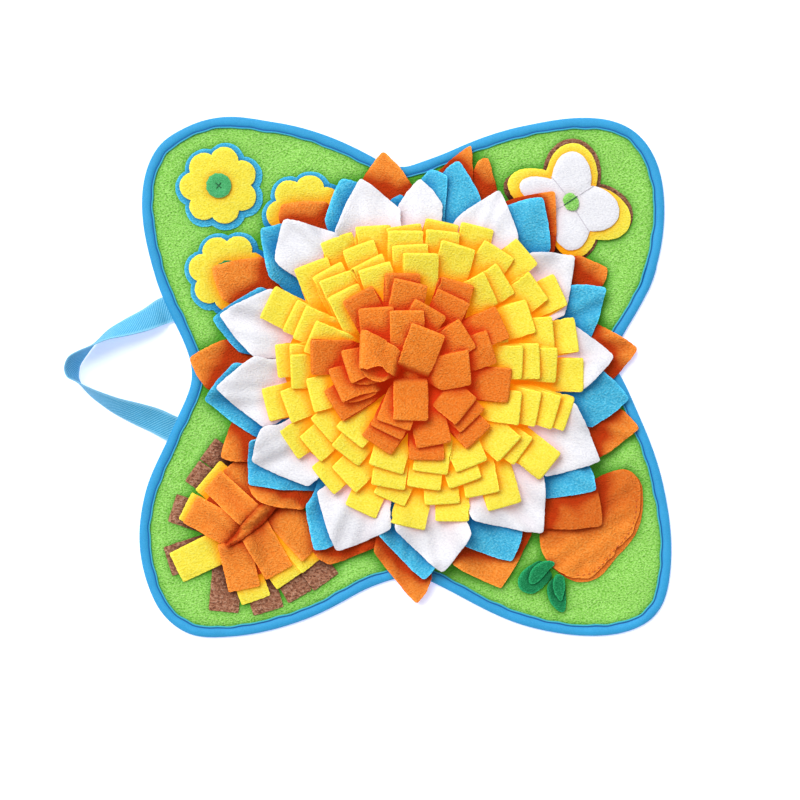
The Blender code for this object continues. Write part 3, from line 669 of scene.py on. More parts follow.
# %% The mat
EDGE_STEPS = 480
MAT_THICK = 3.0
UNDER_TAPE = 9.0
PUCKER_AT = (-152.0, -139.0)
PUCKER_REACH = (60.0, 52.0)
EDGE_ROWS = (
    (-178, 211), (-166, 239), (-156.5, 277), (-149, 303), (-142, 320), (-136, 328),
    (-130.5, 323), (-125, 302), (-113.5, 251), (-104, 212), (-97, 196), (-91, 191),
    (-85.5, 195), (-77, 217), (-64.5, 265), (-53, 308), (-47, 322), (-42.5, 321),
    (-37, 306), (-23.5, 259), (-11.5, 222), (-3, 203), (4.5, 192), (11, 203),
    (23, 249), (35, 291), (42, 309), (48, 313), (54, 302), (66, 260),
    (80, 218), (88, 203), (93.5, 199), (100, 210), (118.5, 274), (126, 304),
    (132, 319), (138.5, 325), (146, 310), (159, 262), (172, 219),
)
WRINKLE_ROWS = (
    (-104, 210, 24, 22, 2.6, 1.2), (-96, 203, 28, 18, 2.4, 1.0), (44, -182, -28, 16, 3.0, 1.9),
    (60, -191, -24, 18, 2.8, 1.7), (80, -199, -18, 16, 2.8, 1.7), (186, -66, 32, 18, 3.2, 1.7),
    (200, -84, 40, 22, 3.4, 1.7), (-44, -187, 14, 20, 3.4, 1.5), (96, 176, 12, 16, 3.0, 1.4),
    (-196, -60, 62, 24, 3.2, 1.2), (204, 96, 70, 26, 3.4, 1.2), (150, -216, 8, 30, 3.6, 1.0),
)


def reach_between(rows, direction):
    """A smooth closed curve's reach in this direction, through rows of (direction, reach)."""
    count = len(rows)
    direction = (direction - rows[0][0]) % 360 + rows[0][0]
    at = max(i for i in range(count) if rows[i][0] <= direction)
    around = []
    for step in (-1, 0, 1, 2):
        turn, place = divmod(at + step, count)
        around.append((rows[place][0] + 360 * turn, rows[place][1]))
    (a0, r0), (a1, r1), (a2, r2), (a3, r3) = around
    span = a2 - a1
    t = (direction - a1) / span
    slope_1 = (r2 - r0) / (a2 - a0) * span
    slope_2 = (r3 - r1) / (a3 - a1) * span
    return (
        (2 * t**3 - 3 * t**2 + 1) * r1 + (t**3 - 2 * t**2 + t) * slope_1
        + (3 * t**2 - 2 * t**3) * r2 + (t**3 - t**2) * slope_2
    )


def curve_points(rows, count, middle=(0.0, 0.0)):
    """Points evenly spaced along a closed curve of (direction, reach) rows."""
    fine = np.array([
        polar(-180 + i / 4, reach_between(rows, -180 + i / 4), middle) for i in range(1440)
    ])
    lengths = np.hypot(*(fine - np.roll(fine, 1, axis=0)).T)
    travelled = np.cumsum(lengths)
    wanted = travelled[-1] * (np.arange(count) + 0.5) / count
    closed = np.vstack([fine[-1], fine])
    travelled = np.concatenate([[0.0], travelled])
    return np.column_stack([np.interp(wanted, travelled, closed[:, i]) for i in range(2)])


def moved_inward(points, amount):
    """A closed counter-clockwise outline moved inward by this amount."""
    along = np.roll(points, -1, axis=0) - np.roll(points, 1, axis=0)
    along = along / np.hypot(*along.T)[:, None]
    amount = np.broadcast_to(np.asarray(amount, float), len(points))[:, None]
    return points + np.column_stack([-along[:, 1], along[:, 0]]) * amount


def mat_swell(spots):
    """The sheet's slow unevenness, the puckers beside the gathered seam, and a few wrinkles.

    Each wrinkle is a row: its middle, its direction, half its length and width, and its height.
    """
    x, y = spots.T
    wrinkles = 0.0
    for x0, y0, direction, long, wide, tall in WRINKLE_ROWS:
        along = (spots - (x0, y0)) @ polar(direction, 1.0)
        off = (spots - (x0, y0)) @ polar(direction + 90, 1.0) - 2.0 * np.sin(along / 9)
        wrinkles = wrinkles + tall * np.exp(-((along / long) ** 2) - (off / wide) ** 2)
    slow = np.sin(0.031 * x + 0.6) * np.sin(0.027 * y + 1.1) + 0.6 * np.sin(0.053 * x - 0.041 * y)
    near_seam = np.exp(-(((spots - PUCKER_AT) / PUCKER_REACH) ** 2).sum(axis=1))
    pucker = np.sin(0.42 * (x - y)) * near_seam
    return 0.25 * slow + 0.45 * pucker + wrinkles


edge = curve_points(EDGE_ROWS, EDGE_STEPS)
mat_edge = [tuple(p) for p in moved_inward(edge, 2.0)[::2]]
spots, triangles = cut(mat_edge, 3.4, waver=0.0)
reach_in = np.array([np.hypot(*(edge - spot).T).min() for spot in spots])
held = smooth_step(UNDER_TAPE, 22.0, reach_in)
mat_top = MAT_THICK + 0.3 * smooth_step(UNDER_TAPE, 14.0, reach_in) + held * mat_swell(spots)
mat_top -= 0.9 * smooth_step(11.0, UNDER_TAPE, reach_in)
under = np.zeros(len(spots)) + 0.05
solid = soft_sheet(spots, triangles, under, mat_top - under)
raise_map(spots, mat_top, triangles)
mat = make_piece("mat_fleece", [solid], lime, "mat")
cut_out(mat)

# %% [markdown]
# ## The edge tape
#
# A strip of woven tape is folded over the mat's edge and sewn through all layers. Its section is
# drawn once, as rows of how far in from the edge a corner lies, how high it is, and whether it
# is the tape's lip (1), which gets a painted light, or the groove of the seam (-1), which gets a
# painted shade. The section then runs round the whole edge: a round outer fold, two flat legs,
# and on top a thin raised lip beyond the groove. The lip wavers a little, because the tape is
# eased round curves, and on the right the tape's end laps over its start.

# %% The edge tape
TAPE_WIDE = 26.0
TAPE_OVER_MAT = 10.6
TAPE_TOP = 4.7
TAPE_JOIN = (229.0, 103.0)
# The third column: 1 marks painted light on the lip, -1 painted shade in the seam's groove.
TAPE_SECTION = (
    (0.0, 1.9, 0), (0.25, 0.75, 0), (1.1, 0.1, 0), (5.0, 0.0, 0), (9.2, 0.0, 0), (10.4, 0.15, 0),
    (10.5, 0.9, 0), (9.0, 1.0, 0), (1.9, 1.1, 0), (1.6, 2.3, 0), (1.9, 3.35, 0), (8.6, 3.0, 0),
    (10.6, 3.05, 0), (11.0, 3.8, 1), (10.5, 4.6, 1), (9.8, 4.6, 0.3), (9.2, 3.7, -1),
    (8.6, 3.5, -1), (8.0, 4.1, 0), (6.8, 4.75, 0), (4.6, 5.0, 0), (2.2, 4.7, 0), (0.8, 3.9, 0),
    (0.2, 2.9, 0),
)


def tape_waver(step):
    """How far the tape's sewn lip wavers in and out, in mm."""
    around = 2 * math.pi * step / EDGE_STEPS
    return (0.35 * math.sin(61 * around) + 0.25 * math.sin(97 * around + 1.3)
            + 0.3 * math.sin(23 * around + 0.4))


def strip_map(piece, along, across):
    """Gives a strip its flat map: U along it and V across it, in metres, one pair a point."""
    layer = piece.data.uv_layers.new(name="strip")
    for loop in piece.data.loops:
        layer.data[loop.index].uv = (along[loop.vertex_index] * MM, across[loop.vertex_index] * MM)


def make_tape():
    """The folded tape all round the edge, made of rings of one section."""
    wavers = np.array([tape_waver(i) for i in range(EDGE_STEPS)])
    step_long = np.hypot(*(edge - np.roll(edge, 1, axis=0)).T).mean()
    from_join = (np.hypot(*(edge - TAPE_JOIN).T).argmin() - np.arange(EDGE_STEPS)) * step_long
    joined = smooth_step(-1.0, 0.0, from_join) * smooth_step(26.0, 22.0, from_join)
    rings = []
    for inward, height, kind in TAPE_SECTION:
        share = min(1.0, max(0.0, (inward - 2.0) / 8.0))
        ripple = (0.12 * share * np.sin(0.9 * np.arange(EDGE_STEPS)) + 0.5 * joined) * (height > 4)
        ring = moved_inward(edge, inward + wavers * share + joined * (0.8 * share - 0.5))
        rings.append(np.column_stack([ring, height + ripple, np.full(EDGE_STEPS, kind)]))
    corners = len(rings)
    points = np.stack(rings, axis=1).reshape(-1, 4)
    faces = ring_faces(EDGE_STEPS, corners, closed=True)
    along = np.repeat(np.arange(EDGE_STEPS) * step_long, corners)
    around = np.concatenate([[0], np.cumsum([
        math.dist(TAPE_SECTION[i][:2], TAPE_SECTION[i - 1][:2]) for i in range(1, corners)
    ])])
    across = np.tile(around, EDGE_STEPS)
    piece = make_piece("edge_tape", [(points, faces)], tape, "edge_binding", 70)
    strip_map(piece, along, across)
    inner = moved_inward(edge, 5.0)
    area = 2 * TAPE_OVER_MAT * np.hypot(*(inner - np.roll(inner, 1, axis=0)).T).sum() * 1.1
    cut_from(piece, area, TAPE_WIDE)


make_tape()
for shift in (0.0, 0.33, 0.66):
    between = edge + (np.roll(edge, -1, axis=0) - edge) * shift
    for inward in np.arange(0.5, TAPE_OVER_MAT, 0.6):
        heights[cells(moved_inward(between, inward))] = TAPE_TOP

# %% [markdown]
# ## The hand loop
#
# The hand loop is one length of 25 mm webbing whose two ends are sewn into the bound edge. It
# lies flat at the seams and turns up onto its edge at the far bend. Rows give where its lower
# and upper edges pass in plan, and the rise between them follows from the width.

# %% The hand loop
WEBBING_WIDE = 25.0
WEBBING_THICK = 1.5
WEBBING_PARTS = 6
WEBBING_PLACES = 9
LEVEL_IN_SEAM = 2.25
LEVEL_FREE = 1.2
WEBBING_ROWS = (
    (-231.3, 76.4, -220.9, 53.6), (-242.2, 73.0, -231.7, 50.2), (-256.5, 63.2, -248.9, 43.2),
    (-274.6, 53.2, -268.9, 37.8), (-290.7, 42.8, -286.4, 34.2), (-302.6, 29.5, -302.1, 28.0),
    (-309.7, 20.0, -314.5, 23.3), (-315.4, 11.4, -324.0, 17.6), (-316.8, 5.7, -327.8, 7.6),
    (-317.3, 0.0, -324.9, -1.0), (-315.9, -5.7, -316.8, -4.8), (-309.7, -15.2, -305.0, -10.9),
    (-300.2, -23.8, -291.7, -16.2), (-285.0, -34.7, -276.5, -21.4), (-266.0, -45.1, -257.5, -26.1),
    (-248.9, -53.2, -239.4, -31.4), (-234.6, -60.8, -223.2, -38.9), (-224.0, -64.4, -212.6, -42.6),
)


def through(rows, parts):
    """A smooth run of values through the rows of a table, with this many parts to a row."""
    rows = np.array(rows, float)
    last = len(rows) - 1
    made = []
    for i in range(last):
        a, b, c, d = rows[max(i - 1, 0)], rows[i], rows[i + 1], rows[min(i + 2, last)]
        for part in range(parts):
            t = part / parts
            made.append(0.5 * (2 * b + (c - a) * t + (2 * a - 5 * b + 4 * c - d) * t**2
                               + (3 * b - a - 3 * c + d) * t**3))
    return np.array(made + [rows[last]])


def make_webbing():
    """The hand loop: a thin ribbon whose lower and upper edges follow the rows."""
    rows = through(WEBBING_ROWS, WEBBING_PARTS)
    count = len(rows)
    low = rows[:, :2]
    high = rows[:, 2:]
    from_seam = np.minimum(np.arange(count), count - 1 - np.arange(count)) / WEBBING_PARTS
    in_plan = np.hypot(*(high - low).T)
    rise = np.sqrt(np.maximum(0.0, WEBBING_WIDE**2 - in_plan**2)) * smooth_step(0.6, 1.6, from_seam)
    level = LEVEL_IN_SEAM + (LEVEL_FREE - LEVEL_IN_SEAM) * smooth_step(1.0, 2.5, from_seam)
    low = np.column_stack([low, level])
    high = np.column_stack([high, level + rise])
    across = WEBBING_PLACES
    shares = np.linspace(0, 1, across)
    grid = low[:, None] + (high - low)[:, None] * shares[None, :, None]
    face = unit(np.cross(np.gradient(grid, axis=0), np.gradient(grid, axis=1)))
    bow = 0.5 * np.sin(math.pi * shares)[None, :, None]
    grid = grid + face * bow * smooth_step(1.0, 3.0, from_seam)[:, None, None]
    edge_in = np.array([0.55] + [1.0] * (across - 2) + [0.55])[None, :, None]
    front = grid + face * edge_in * WEBBING_THICK / 2
    back = grid - face * edge_in * WEBBING_THICK / 2
    ring = np.concatenate([front, back[:, ::-1]], axis=1)
    corners = 2 * across
    # Both edges of the webbing get a painted highlight.
    painted_edge_highlight = np.array([1.0] + [0.0] * (across - 2) + [1.0])
    painted_edge_highlight = np.tile(np.concatenate([painted_edge_highlight, painted_edge_highlight]), count)
    points = np.column_stack([ring.reshape(-1, 3), painted_edge_highlight])
    middle = grid[:, across // 2]
    travelled = np.concatenate([[0], np.cumsum(np.linalg.norm(np.diff(middle, axis=0), axis=1))])
    along = np.repeat(travelled, corners)
    v = np.concatenate([shares, 1.2 + shares[::-1]]) * WEBBING_WIDE
    solid = points, ring_faces(count, corners)
    piece = make_piece("hand_loop_webbing", [solid], webbing, "hand_loop", 70)
    strip_map(piece, along, np.tile(v, count))
    cut_from(piece, travelled[-1] * WEBBING_WIDE, WEBBING_WIDE)
    print("webbing length in mm:", round(travelled[-1]))


make_webbing()

# %% [markdown]
# ## Sewn flowers
#
# Three small flowers lie in the upper left lobe. Each is a blue fleece shape with seven round
# lobes, a smaller yellow one on it, a felt dot, and a cross of thread that holds them down.
# A little swelling between the lobes and a dimple under the thread make them look sewn.

# %% Sewn flowers
FELT_THICK = 1.7
LOBES = 7
LOBE_OUT = 23.3
BLUE_LOBE, YELLOW_LOBE = 18.2, 13.0
DOT_REACH = 11.2
FLOWER_ROWS = (
    ("corner", -183.8, 180.0, 78.0),
    ("upper", -101.7, 154.0, 80.0),
    ("lower", -175.3, 97.4, 66.0),
)


def lobed_outline(middle, first, out, lobe_round, uneven):
    """A ring of round lobes: each lobe is an arc between its two valleys."""
    half_turn = 180 / LOBES
    points = []
    for lobe in range(LOBES):
        more = uneven * math.sin(2.1 * lobe + first)
        for part in (step / 5 for step in range(-5, 5)):
            turn = math.radians(part * half_turn)
            reach = out * math.cos(turn) + math.sqrt(lobe_round**2 - (out * math.sin(turn)) ** 2)
            reach += more * math.cos(math.pi * part / 2)
            points.append(polar(first + 2 * half_turn * lobe + math.degrees(turn), reach, middle))
    return points


def dimple(middle, deep, wide):
    """A shape that swells away from a stitched middle."""
    return lambda spots: deep * smooth_step(0.0, wide, np.hypot(*(spots - middle).T))


def make_flowers():
    """Each flower's three layers, laid one on the other."""
    for name, x, y, first in FLOWER_ROWS:
        under = (x + 1.0, y - 1.2)
        outline = lobed_outline(under, first, LOBE_OUT, BLUE_LOBE, 0.9)
        *solid, area = lay(outline, FELT_THICK, spacing=3.6)
        blue = make_piece(f"flower_{name}_sky", [solid], sky, f"flower_{name}_blue")
        cut_out(blue)
        outline = lobed_outline((x, y), first, LOBE_OUT, YELLOW_LOBE, 0.7)
        *solid, area = lay(outline, FELT_THICK, spacing=3.2, shape=dimple((x, y), 0.7, 18.0))
        top = make_piece(f"flower_{name}_sun", [solid], yellow, f"flower_{name}_yellow")
        cut_out(top)
        ring = [polar(360 * i / 24, DOT_REACH + 0.35 * math.sin(3 * i), (x, y)) for i in range(24)]
        *solid, area = lay(ring, FELT_THICK, spacing=2.2, shape=dimple((x, y), 1.0, 7.0))
        dot = make_piece(f"flower_{name}_button", [solid], dot_felt, f"flower_{name}_dot")
        cut_out(dot)


make_flowers()

# %% [markdown]
# ## The butterfly
#
# Three layers of fleece, brown under yellow under white, each cut a little smaller, with two
# broad wings and two narrower ones. The white layer is sewn down along seams that meet under a
# small felt body, a little longer along one slant, so the wings puff up between the seams.

# %% The butterfly
BUTTERFLY_AT = (149.2, 164.4)
BUTTERFLY_WINGS = {
    "brown": ((87, 60.0, 27.0), (164, 65.0, 20.0), (-17, 60.5, 25.0), (-86, 55.0, 25.0)),
    "yellow": ((87, 55.5, 23.5), (160, 62.0, 20.0), (-22, 59.5, 23.5), (-84, 52.0, 22.0)),
    "white": ((88, 47.5, 18.0), (160, 50.5, 13.5), (-17, 46.5, 20.5), (-89, 45.0, 17.5)),
}
BUTTERFLY_SEAMS = (127.0, 35.0, -56.0, 205.0)
WING_ROOT = 6.0
WAIST_REACH = 14.0
BODY_REACH = 7.2


def wing_reach(wings, direction):
    """How far a set of oval wings, all rooted in one middle, reaches in this direction."""
    best = WAIST_REACH
    for aim, reach, half_wide in wings:
        turn = math.radians(direction - aim)
        length = 0.5 * (reach + WING_ROOT)
        middle = reach - length
        a = (math.cos(turn) / length) ** 2 + (math.sin(turn) / half_wide) ** 2
        b = -2 * middle * math.cos(turn) / length**2
        c = (middle / length) ** 2 - 1
        under_root = b * b - 4 * a * c
        if under_root > 0:
            best = max(best, (-b + math.sqrt(under_root)) / (2 * a))
    return best


def wing_puff(spots):
    """The white wings rise between their seams and dip at the body."""
    away = np.asarray(spots) - BUTTERFLY_AT
    direction = direction_of(away)
    reach = np.hypot(*away.T)
    dip = np.ones(len(spots))
    for seam in BUTTERFLY_SEAMS:
        turn = np.radians((direction - seam + 180) % 360 - 180)
        off = np.where(np.abs(turn) < 1.5, np.abs(reach * np.sin(turn)), 99.0)
        dip = np.minimum(dip, smooth_step(0.0, 7.0, off))
    return 1.3 * dip * smooth_step(4.0, 16.0, reach) * smooth_step(58.0, 34.0, reach)


def body_reach(direction):
    """The reach of the felt body's edge: an uneven round, longer along one slant."""
    slant = 0.9 * math.cos(math.radians(2 * direction - 236))
    return BODY_REACH + slant + 0.35 * math.sin(math.radians(5 * direction))


def make_butterfly():
    """The three layers of wings and the body."""
    finish = {"brown": brown, "yellow": yellow, "white": white}
    for name, wings in BUTTERFLY_WINGS.items():
        outline = [polar(d, wing_reach(wings, d), BUTTERFLY_AT) for d in range(0, 360, 4)]
        shape = wing_puff if name == "white" else None
        *solid, area = lay(outline, FELT_THICK, spacing=3.6, shape=shape)
        layer = make_piece(f"butterfly_{name}_wings", [solid], finish[name],
                           f"butterfly_{name}")
        cut_out(layer)
    ring = [polar(d, body_reach(d), BUTTERFLY_AT) for d in range(0, 360, 15)]
    *solid, area = lay(ring, FELT_THICK, spacing=2.0, shape=dimple(BUTTERFLY_AT, 0.8, 5.0))
    body = make_piece("butterfly_round_body", [solid], body_felt, "butterfly_body")
    cut_out(body)


make_butterfly()

# %% [markdown]
# ## Gathered strips
#
# In the lower left lobe short strips of brown, yellow and orange fleece fan out to both sides
# of one seam that gathers them. Near the seam a strip is pinched into pleats, which die out
# along it, and the gathered cloth stands up as a small wavy ridge between two creases. Each
# strip is its own cut piece, laid brown first, then yellow, then orange. The lower ones start a
# little away from the seam, so that the heap there doesn't grow into a lump, and a narrow piece
# of orange cloth under the seam closes the gaps between them.
#
# Rows give where along the seam a strip is rooted, its direction, its length and its width. The
# crease rows give the two sides of the ridge in plan.

# %% Gathered strips
STRIP_WIDE = 27.0
SEAM_FROM = np.array((-175.8, -158.7))
SEAM_TO = np.array((-124.0, -121.0))
SEAM_RUN = (SEAM_TO - SEAM_FROM) / np.linalg.norm(SEAM_TO - SEAM_FROM)
UNDER_SEAM_HALF = 6.5
UNDER_SEAM_MORE = 4.0
STRIP_ROWS = {
    "brown": (
        (1.00, 143.6, 87.3, 23.6), (0.60, 144.3, 79.0, 22.6), (0.30, 161.7, 71.0, 26.0),
        (0.02, 197.4, 59.8, 27.2), (0.05, 264.5, 66.3, 27.0), (0.30, 287.2, 78.6, 28.2),
        (0.55, 299.6, 81.4, 24.2), (0.85, 305.7, 84.2, 27.2),
    ),
    "yellow": (
        (0.60, 139.8, 64.7, 35.0), (0.25, 153.5, 58.6, 26.8), (0.03, 205.8, 55.0, 29.3),
        (0.12, 289.8, 61.4, 27.4), (0.45, 304.4, 62.7, 28.0), (0.82, 309.0, 63.3, 28.5),
    ),
    "orange": (
        (0.73, 132.0, 50.0, 13.0), (0.40, 145.0, 47.0, 13.0), (0.30, 290.5, 42.0, 12.0),
        (0.85, 128.0, 58.2, 29.0), (0.22, 152.1, 51.8, 28.0), (0.56, 137.7, 57.3, 24.0),
        (0.92, 311.6, 53.3, 32.0), (0.12, 282.0, 47.9, 29.0), (0.47, 298.9, 50.8, 27.0),
    ),
}
STRIP_STARTS = {"brown": 20.0, "yellow": 9.0, "orange": 2.6}
CREASE_ROWS = (
    (-175.8, -158.7, -173.9, -160.6), (-167.7, -150.5, -165.3, -156.3),
    (-162.4, -143.0, -158.2, -150.6), (-155.3, -134.4, -150.6, -145.4),
    (-149.6, -128.7, -141.6, -138.3), (-142.9, -121.6, -134.9, -130.7),
    (-135.9, -116.9, -129.2, -124.0), (-125.5, -119.0, -123.5, -120.7),
)


def strip_shape(root, along, across, wide, start):
    """How a strip rises from the seam: a soft swell, and pleats that die out along it."""
    turned = rng.uniform(0, 6)

    def shape(spots):
        away = spots - root
        far = away @ along - start
        side = away @ across
        swell = smooth_step(0.0, 6.0, far) * np.exp(-((far / 24) ** 2))
        pleat = np.sin(2 * math.pi * side / 8.5 + turned) * np.exp(-((far - 3) / 9) ** 2)
        curl = 0.9 * smooth_step(36.0, 46.0, far) * (side / wide) ** 2 * 4
        return 2.6 * swell + 0.55 * pleat + curl + 0.6
    return shape


def ridge_shape(spots):
    """The gathered cloth that stands up between the two creases, in small waves."""
    rows = through(CREASE_ROWS, 4)
    middle = (rows[:, :2] + rows[:, 2:]) / 2
    half = np.hypot(*(rows[:, :2] - rows[:, 2:]).T) / 2 + 0.4
    gaps = np.hypot(*(spots[:, None] - middle[None]).transpose(2, 0, 1))
    nearest = gaps.argmin(axis=1)
    share = np.clip(gaps.min(axis=1) / half[nearest], 0, 1)
    wave = np.sin(0.95 * nearest) + 0.7 * np.sin(2.1 * nearest + spots[:, 0] - spots[:, 1])
    return 3.2 * (1 - share**2) + 0.7 * wave * (1 - share) + 0.4


def four_corners(start, end, side, end_side):
    """A straight piece in plan, with half its width given at its start and at its end."""
    return [tuple(corner) for corner in (start - side, end - end_side, end + end_side, start + side)]


def make_strips():
    """Each colour's strips, with the cloth under the seam and the ridge among the orange."""
    finish = {"brown": brown, "yellow": yellow, "orange": flat_orange}
    for name, rows in STRIP_ROWS.items():
        start = STRIP_STARTS[name]
        laid_pieces = []
        if name == "orange":
            side = np.array((-SEAM_RUN[1], SEAM_RUN[0])) * UNDER_SEAM_HALF
            ends = SEAM_FROM - UNDER_SEAM_MORE * SEAM_RUN, SEAM_TO + UNDER_SEAM_MORE * SEAM_RUN
            outline = rounded(four_corners(*ends, side, side), 3.0)
            laid_pieces.append(lay(outline, FELT_THICK, spacing=3.0, soften=5))
        for place, direction, length, wide in rows:
            root = SEAM_FROM + (SEAM_TO - SEAM_FROM) * place
            along = np.array(polar(direction, 1.0))
            across = np.array((-along[1], along[0]))
            outline = rounded(four_corners(root + along * start, root + along * length,
                                           across * wide * 0.52, across * wide / 2), 1.0)
            shape = strip_shape(root, along, across, wide, start) if name == "orange" else None
            laid_pieces.append(lay(outline, FELT_THICK, spacing=2.8, shape=shape, steps=6, soften=5,
                                   press=1.0))
        if name == "orange":
            rows = through(CREASE_ROWS, 3)
            outline = [tuple(p) for p in rows[:, 2:]] + [tuple(p) for p in rows[::-1, :2]]
            laid_pieces.append(lay(outline, FELT_THICK, spacing=2.0, shape=ridge_shape, steps=4))
        piece = make_piece(f"gathered_{name}", [made[:2] for made in laid_pieces], finish[name],
                           f"strips_{name}")
        cut_from(piece, sum(made[2] for made in laid_pieces), STRIP_WIDE)


make_strips()

# %% [markdown]
# ## The carrot and its leaves
#
# The carrot is two layers of orange fleece sewn together near the edge, so it has a double
# edge line and a low swelling. Its stitches draw the top layer in, so that the outer side of
# that layer is wavy and shows the lower layer beyond it. Its two leaves are dark green felt, one
# round and one pointed, and each is folded over on itself, so that a second rim lies on it.

# %% The carrot and its leaves
LEAF_WIDE = 22.0
LEAF_THICK = 2.4
LEAF_OVER_THICK = 1.6
CARROT_AT = (166.3, -144.4)
CARROT_UNDER_AIM, CARROT_UNDER_SHIFT = -50.0, 3.6
CARROT_ROWS = (
    (-172, 46), (-150, 49), (-125, 49), (-105, 49), (-85, 45), (-62, 37), (-42, 34), (-20, 37),
    (5, 45), (28, 55), (46, 66), (58, 65), (72, 54), (92, 41), (120, 36), (150, 39), (172, 42),
)
LEAF_ROUND = (
    (121.6, -174.8), (112.1, -179.6), (103.6, -186.2), (99.8, -192.9), (100.7, -200.5),
    (105.5, -204.2), (113.1, -206.2), (120.7, -201.4), (132.0, -189.5),
)
LEAF_POINT = (
    (135.0, -190.6), (129.2, -195.7), (127.3, -203.3), (130.2, -213.8), (137.8, -222.3),
    (143.4, -223.4), (144.0, -212.8), (143.4, -196.0),
)
LEAF_OVER = {
    "leaf_folded": (
        (109.5, -195.4), (111.2, -185.9), (115.9, -179.6), (123.8, -175.5), (131.8, -175.5),
        (134.0, -177.9), (127.0, -184.3), (120.7, -192.2), (114.3, -196.9),
    ),
    "leaf_pointed": (
        (134.9, -188.0), (142.5, -189.0), (143.4, -200.2), (140.3, -213.8), (134.9, -207.0),
        (132.2, -197.5),
    ),
}


def carrot_swell(spots):
    """A padded top that dips at the seam near its edge, with a few soft puckers."""
    away = spots - CARROT_AT
    direction = direction_of(away)
    share = np.hypot(*away.T) / np.array([reach_between(CARROT_ROWS, d) for d in direction])
    swell = 2.8 * (1 - smooth_step(0.25, 0.9, share))
    puckers = np.sin(np.radians(direction) * 13 + 3 * share) * np.exp(-((share - 0.78) / 0.16) ** 2)
    waves = 1.5 * np.sin(0.19 * away[:, 0] - 0.12 * away[:, 1]) * np.sin(0.16 * away[:, 1] + 0.8)
    return swell + puckers + waves * smooth_step(1.0, 0.7, share) + 0.7


def drawn_in(spot):
    """A spot on the top layer's edge, drawn in by the stitches on the carrot's outer side."""
    away = spot - CARROT_AT
    direction = math.degrees(math.atan2(away[1], away[0]))
    eased = math.exp(-(((direction + 45) / 62) ** 2))
    turn = math.radians(direction)
    pulled = eased * (1.5 + 1.1 * math.sin(turn * 9) + 0.7 * math.sin(turn * 17))
    return tuple(spot - away / np.hypot(*away) * pulled)


def make_carrot():
    """The carrot's two layers, then its two leaves."""
    middle = polar(CARROT_UNDER_AIM, CARROT_UNDER_SHIFT, CARROT_AT)
    outline = [tuple(p) for p in curve_points(CARROT_ROWS, 90, middle)]
    *solid, area = lay(outline, FELT_THICK, spacing=3.8)
    under = make_piece("carrot_lower_layer", [solid], flat_orange, "carrot_under")
    cut_out(under)
    outline = [drawn_in(spot) for spot in curve_points(CARROT_ROWS, 90, CARROT_AT)]
    *solid, area = lay(outline, FELT_THICK, spacing=3.2, shape=carrot_swell)
    upper = make_piece("carrot_top_layer", [solid], flat_orange, "carrot_upper")
    cut_out(upper)
    for name, rows in (("leaf_folded", LEAF_ROUND), ("leaf_pointed", LEAF_POINT)):
        over = LEAF_OVER[name]
        *solid, area = lay(rounded(rows, 4.0, 3), LEAF_THICK, spacing=2.2,
                           shape=dimple(np.mean(rows, axis=0), 0.9, 8.0))
        *turned_over, more = lay(rounded(over, 3.0, 3), LEAF_OVER_THICK, spacing=2.0,
                                 shape=dimple(np.mean(over, axis=0), 0.8, 5.0))
        leaf = make_piece(name, [solid, turned_over], leaf_felt, f"carrot_{name}")
        cut_from(leaf, area + more, LEAF_WIDE)


make_carrot()

# %% [markdown]
# ## Hand stitches
#
# A cross of dark thread holds each flower's dot, and one long dark stitch crosses the butterfly's
# body. A line of pale thread runs out from the body along each seam, and small running stitches
# follow the carrot's outer edge. A stitch is a round rod of thread that lies on the cloth and
# dives into it at both ends.

# %% Hand stitches
ROD_CORNERS = 6
CROSS_TURNS = (52, 138)
CROSS_REACH = 3.9
BODY_STITCH = ((142.2, 161.0), (155.8, 170.2))
BUTTERFLY_THREADS = (
    ((130.4, 189.0), (144.2, 172.2)), ((153.6, 156.6), (166.4, 136.4)),
    ((170.8, 179.8), (156.0, 170.4)), ((142.0, 160.8), (133.0, 156.6)),
)
CARROT_SEAM_SHARE = 0.93


def thread_rod(start, end, half=0.45, parts=6):
    """One stitch between two spots in plan, as a closed round rod on the map."""
    spots = np.linspace(start, end, parts + 1)
    run = (spots[-1] - spots[0]) / np.linalg.norm(spots[-1] - spots[0])
    side = np.array((-run[1], run[0]))
    level = highest_near(spots, 0.8) + 0.5 * half
    level[[0, -1]] -= 2.4 * half
    rings = []
    for spot, z in zip(spots, level):
        for corner in range(ROD_CORNERS):
            turn = corner * 2 * math.pi / ROD_CORNERS
            rings.append((*(spot + side * half * math.cos(turn)), z + half * math.sin(turn)))
    return np.array(rings), ring_faces(parts + 1, ROD_CORNERS)


def running_stitches(line, long=3.2, apart=2.2):
    """Rods of this length in mm along a line of spots, this far apart."""
    line = np.array(line)
    travelled = np.concatenate([[0], np.cumsum(np.hypot(*np.diff(line, axis=0).T))])
    ends = []
    for at in np.arange(0, travelled[-1] - long, long + apart):
        pair = [[np.interp(place, travelled, line[:, i]) for i in range(2)]
                for place in (at, at + long)]
        ends.append(thread_rod(*pair, parts=3))
    return ends


crosses = []
for name, x, y, first in FLOWER_ROWS:
    for turn in CROSS_TURNS:
        ends = polar(turn, CROSS_REACH, (x, y)), polar(turn + 180, CROSS_REACH, (x, y))
        crosses.append(thread_rod(*ends, 0.42))
crosses.append(thread_rod(*BODY_STITCH, 0.5, 8))
make_piece("dark_green_stitches", crosses, green_thread)

threads = [thread_rod(*ends, 0.36, 12) for ends in BUTTERFLY_THREADS]
make_piece("butterfly_seam_stitches", threads, grey_thread)

carrot_seam = [polar(d, CARROT_SEAM_SHARE * reach_between(CARROT_ROWS, d), CARROT_AT)
               for d in range(-105, 40, 5)]
carrot_rods = running_stitches(carrot_seam)
make_piece("carrot_stitches", carrot_rods, orange_thread)
print("stitches:", len(crosses), "dark,", len(threads), "pale,", len(carrot_rods), "on the carrot")

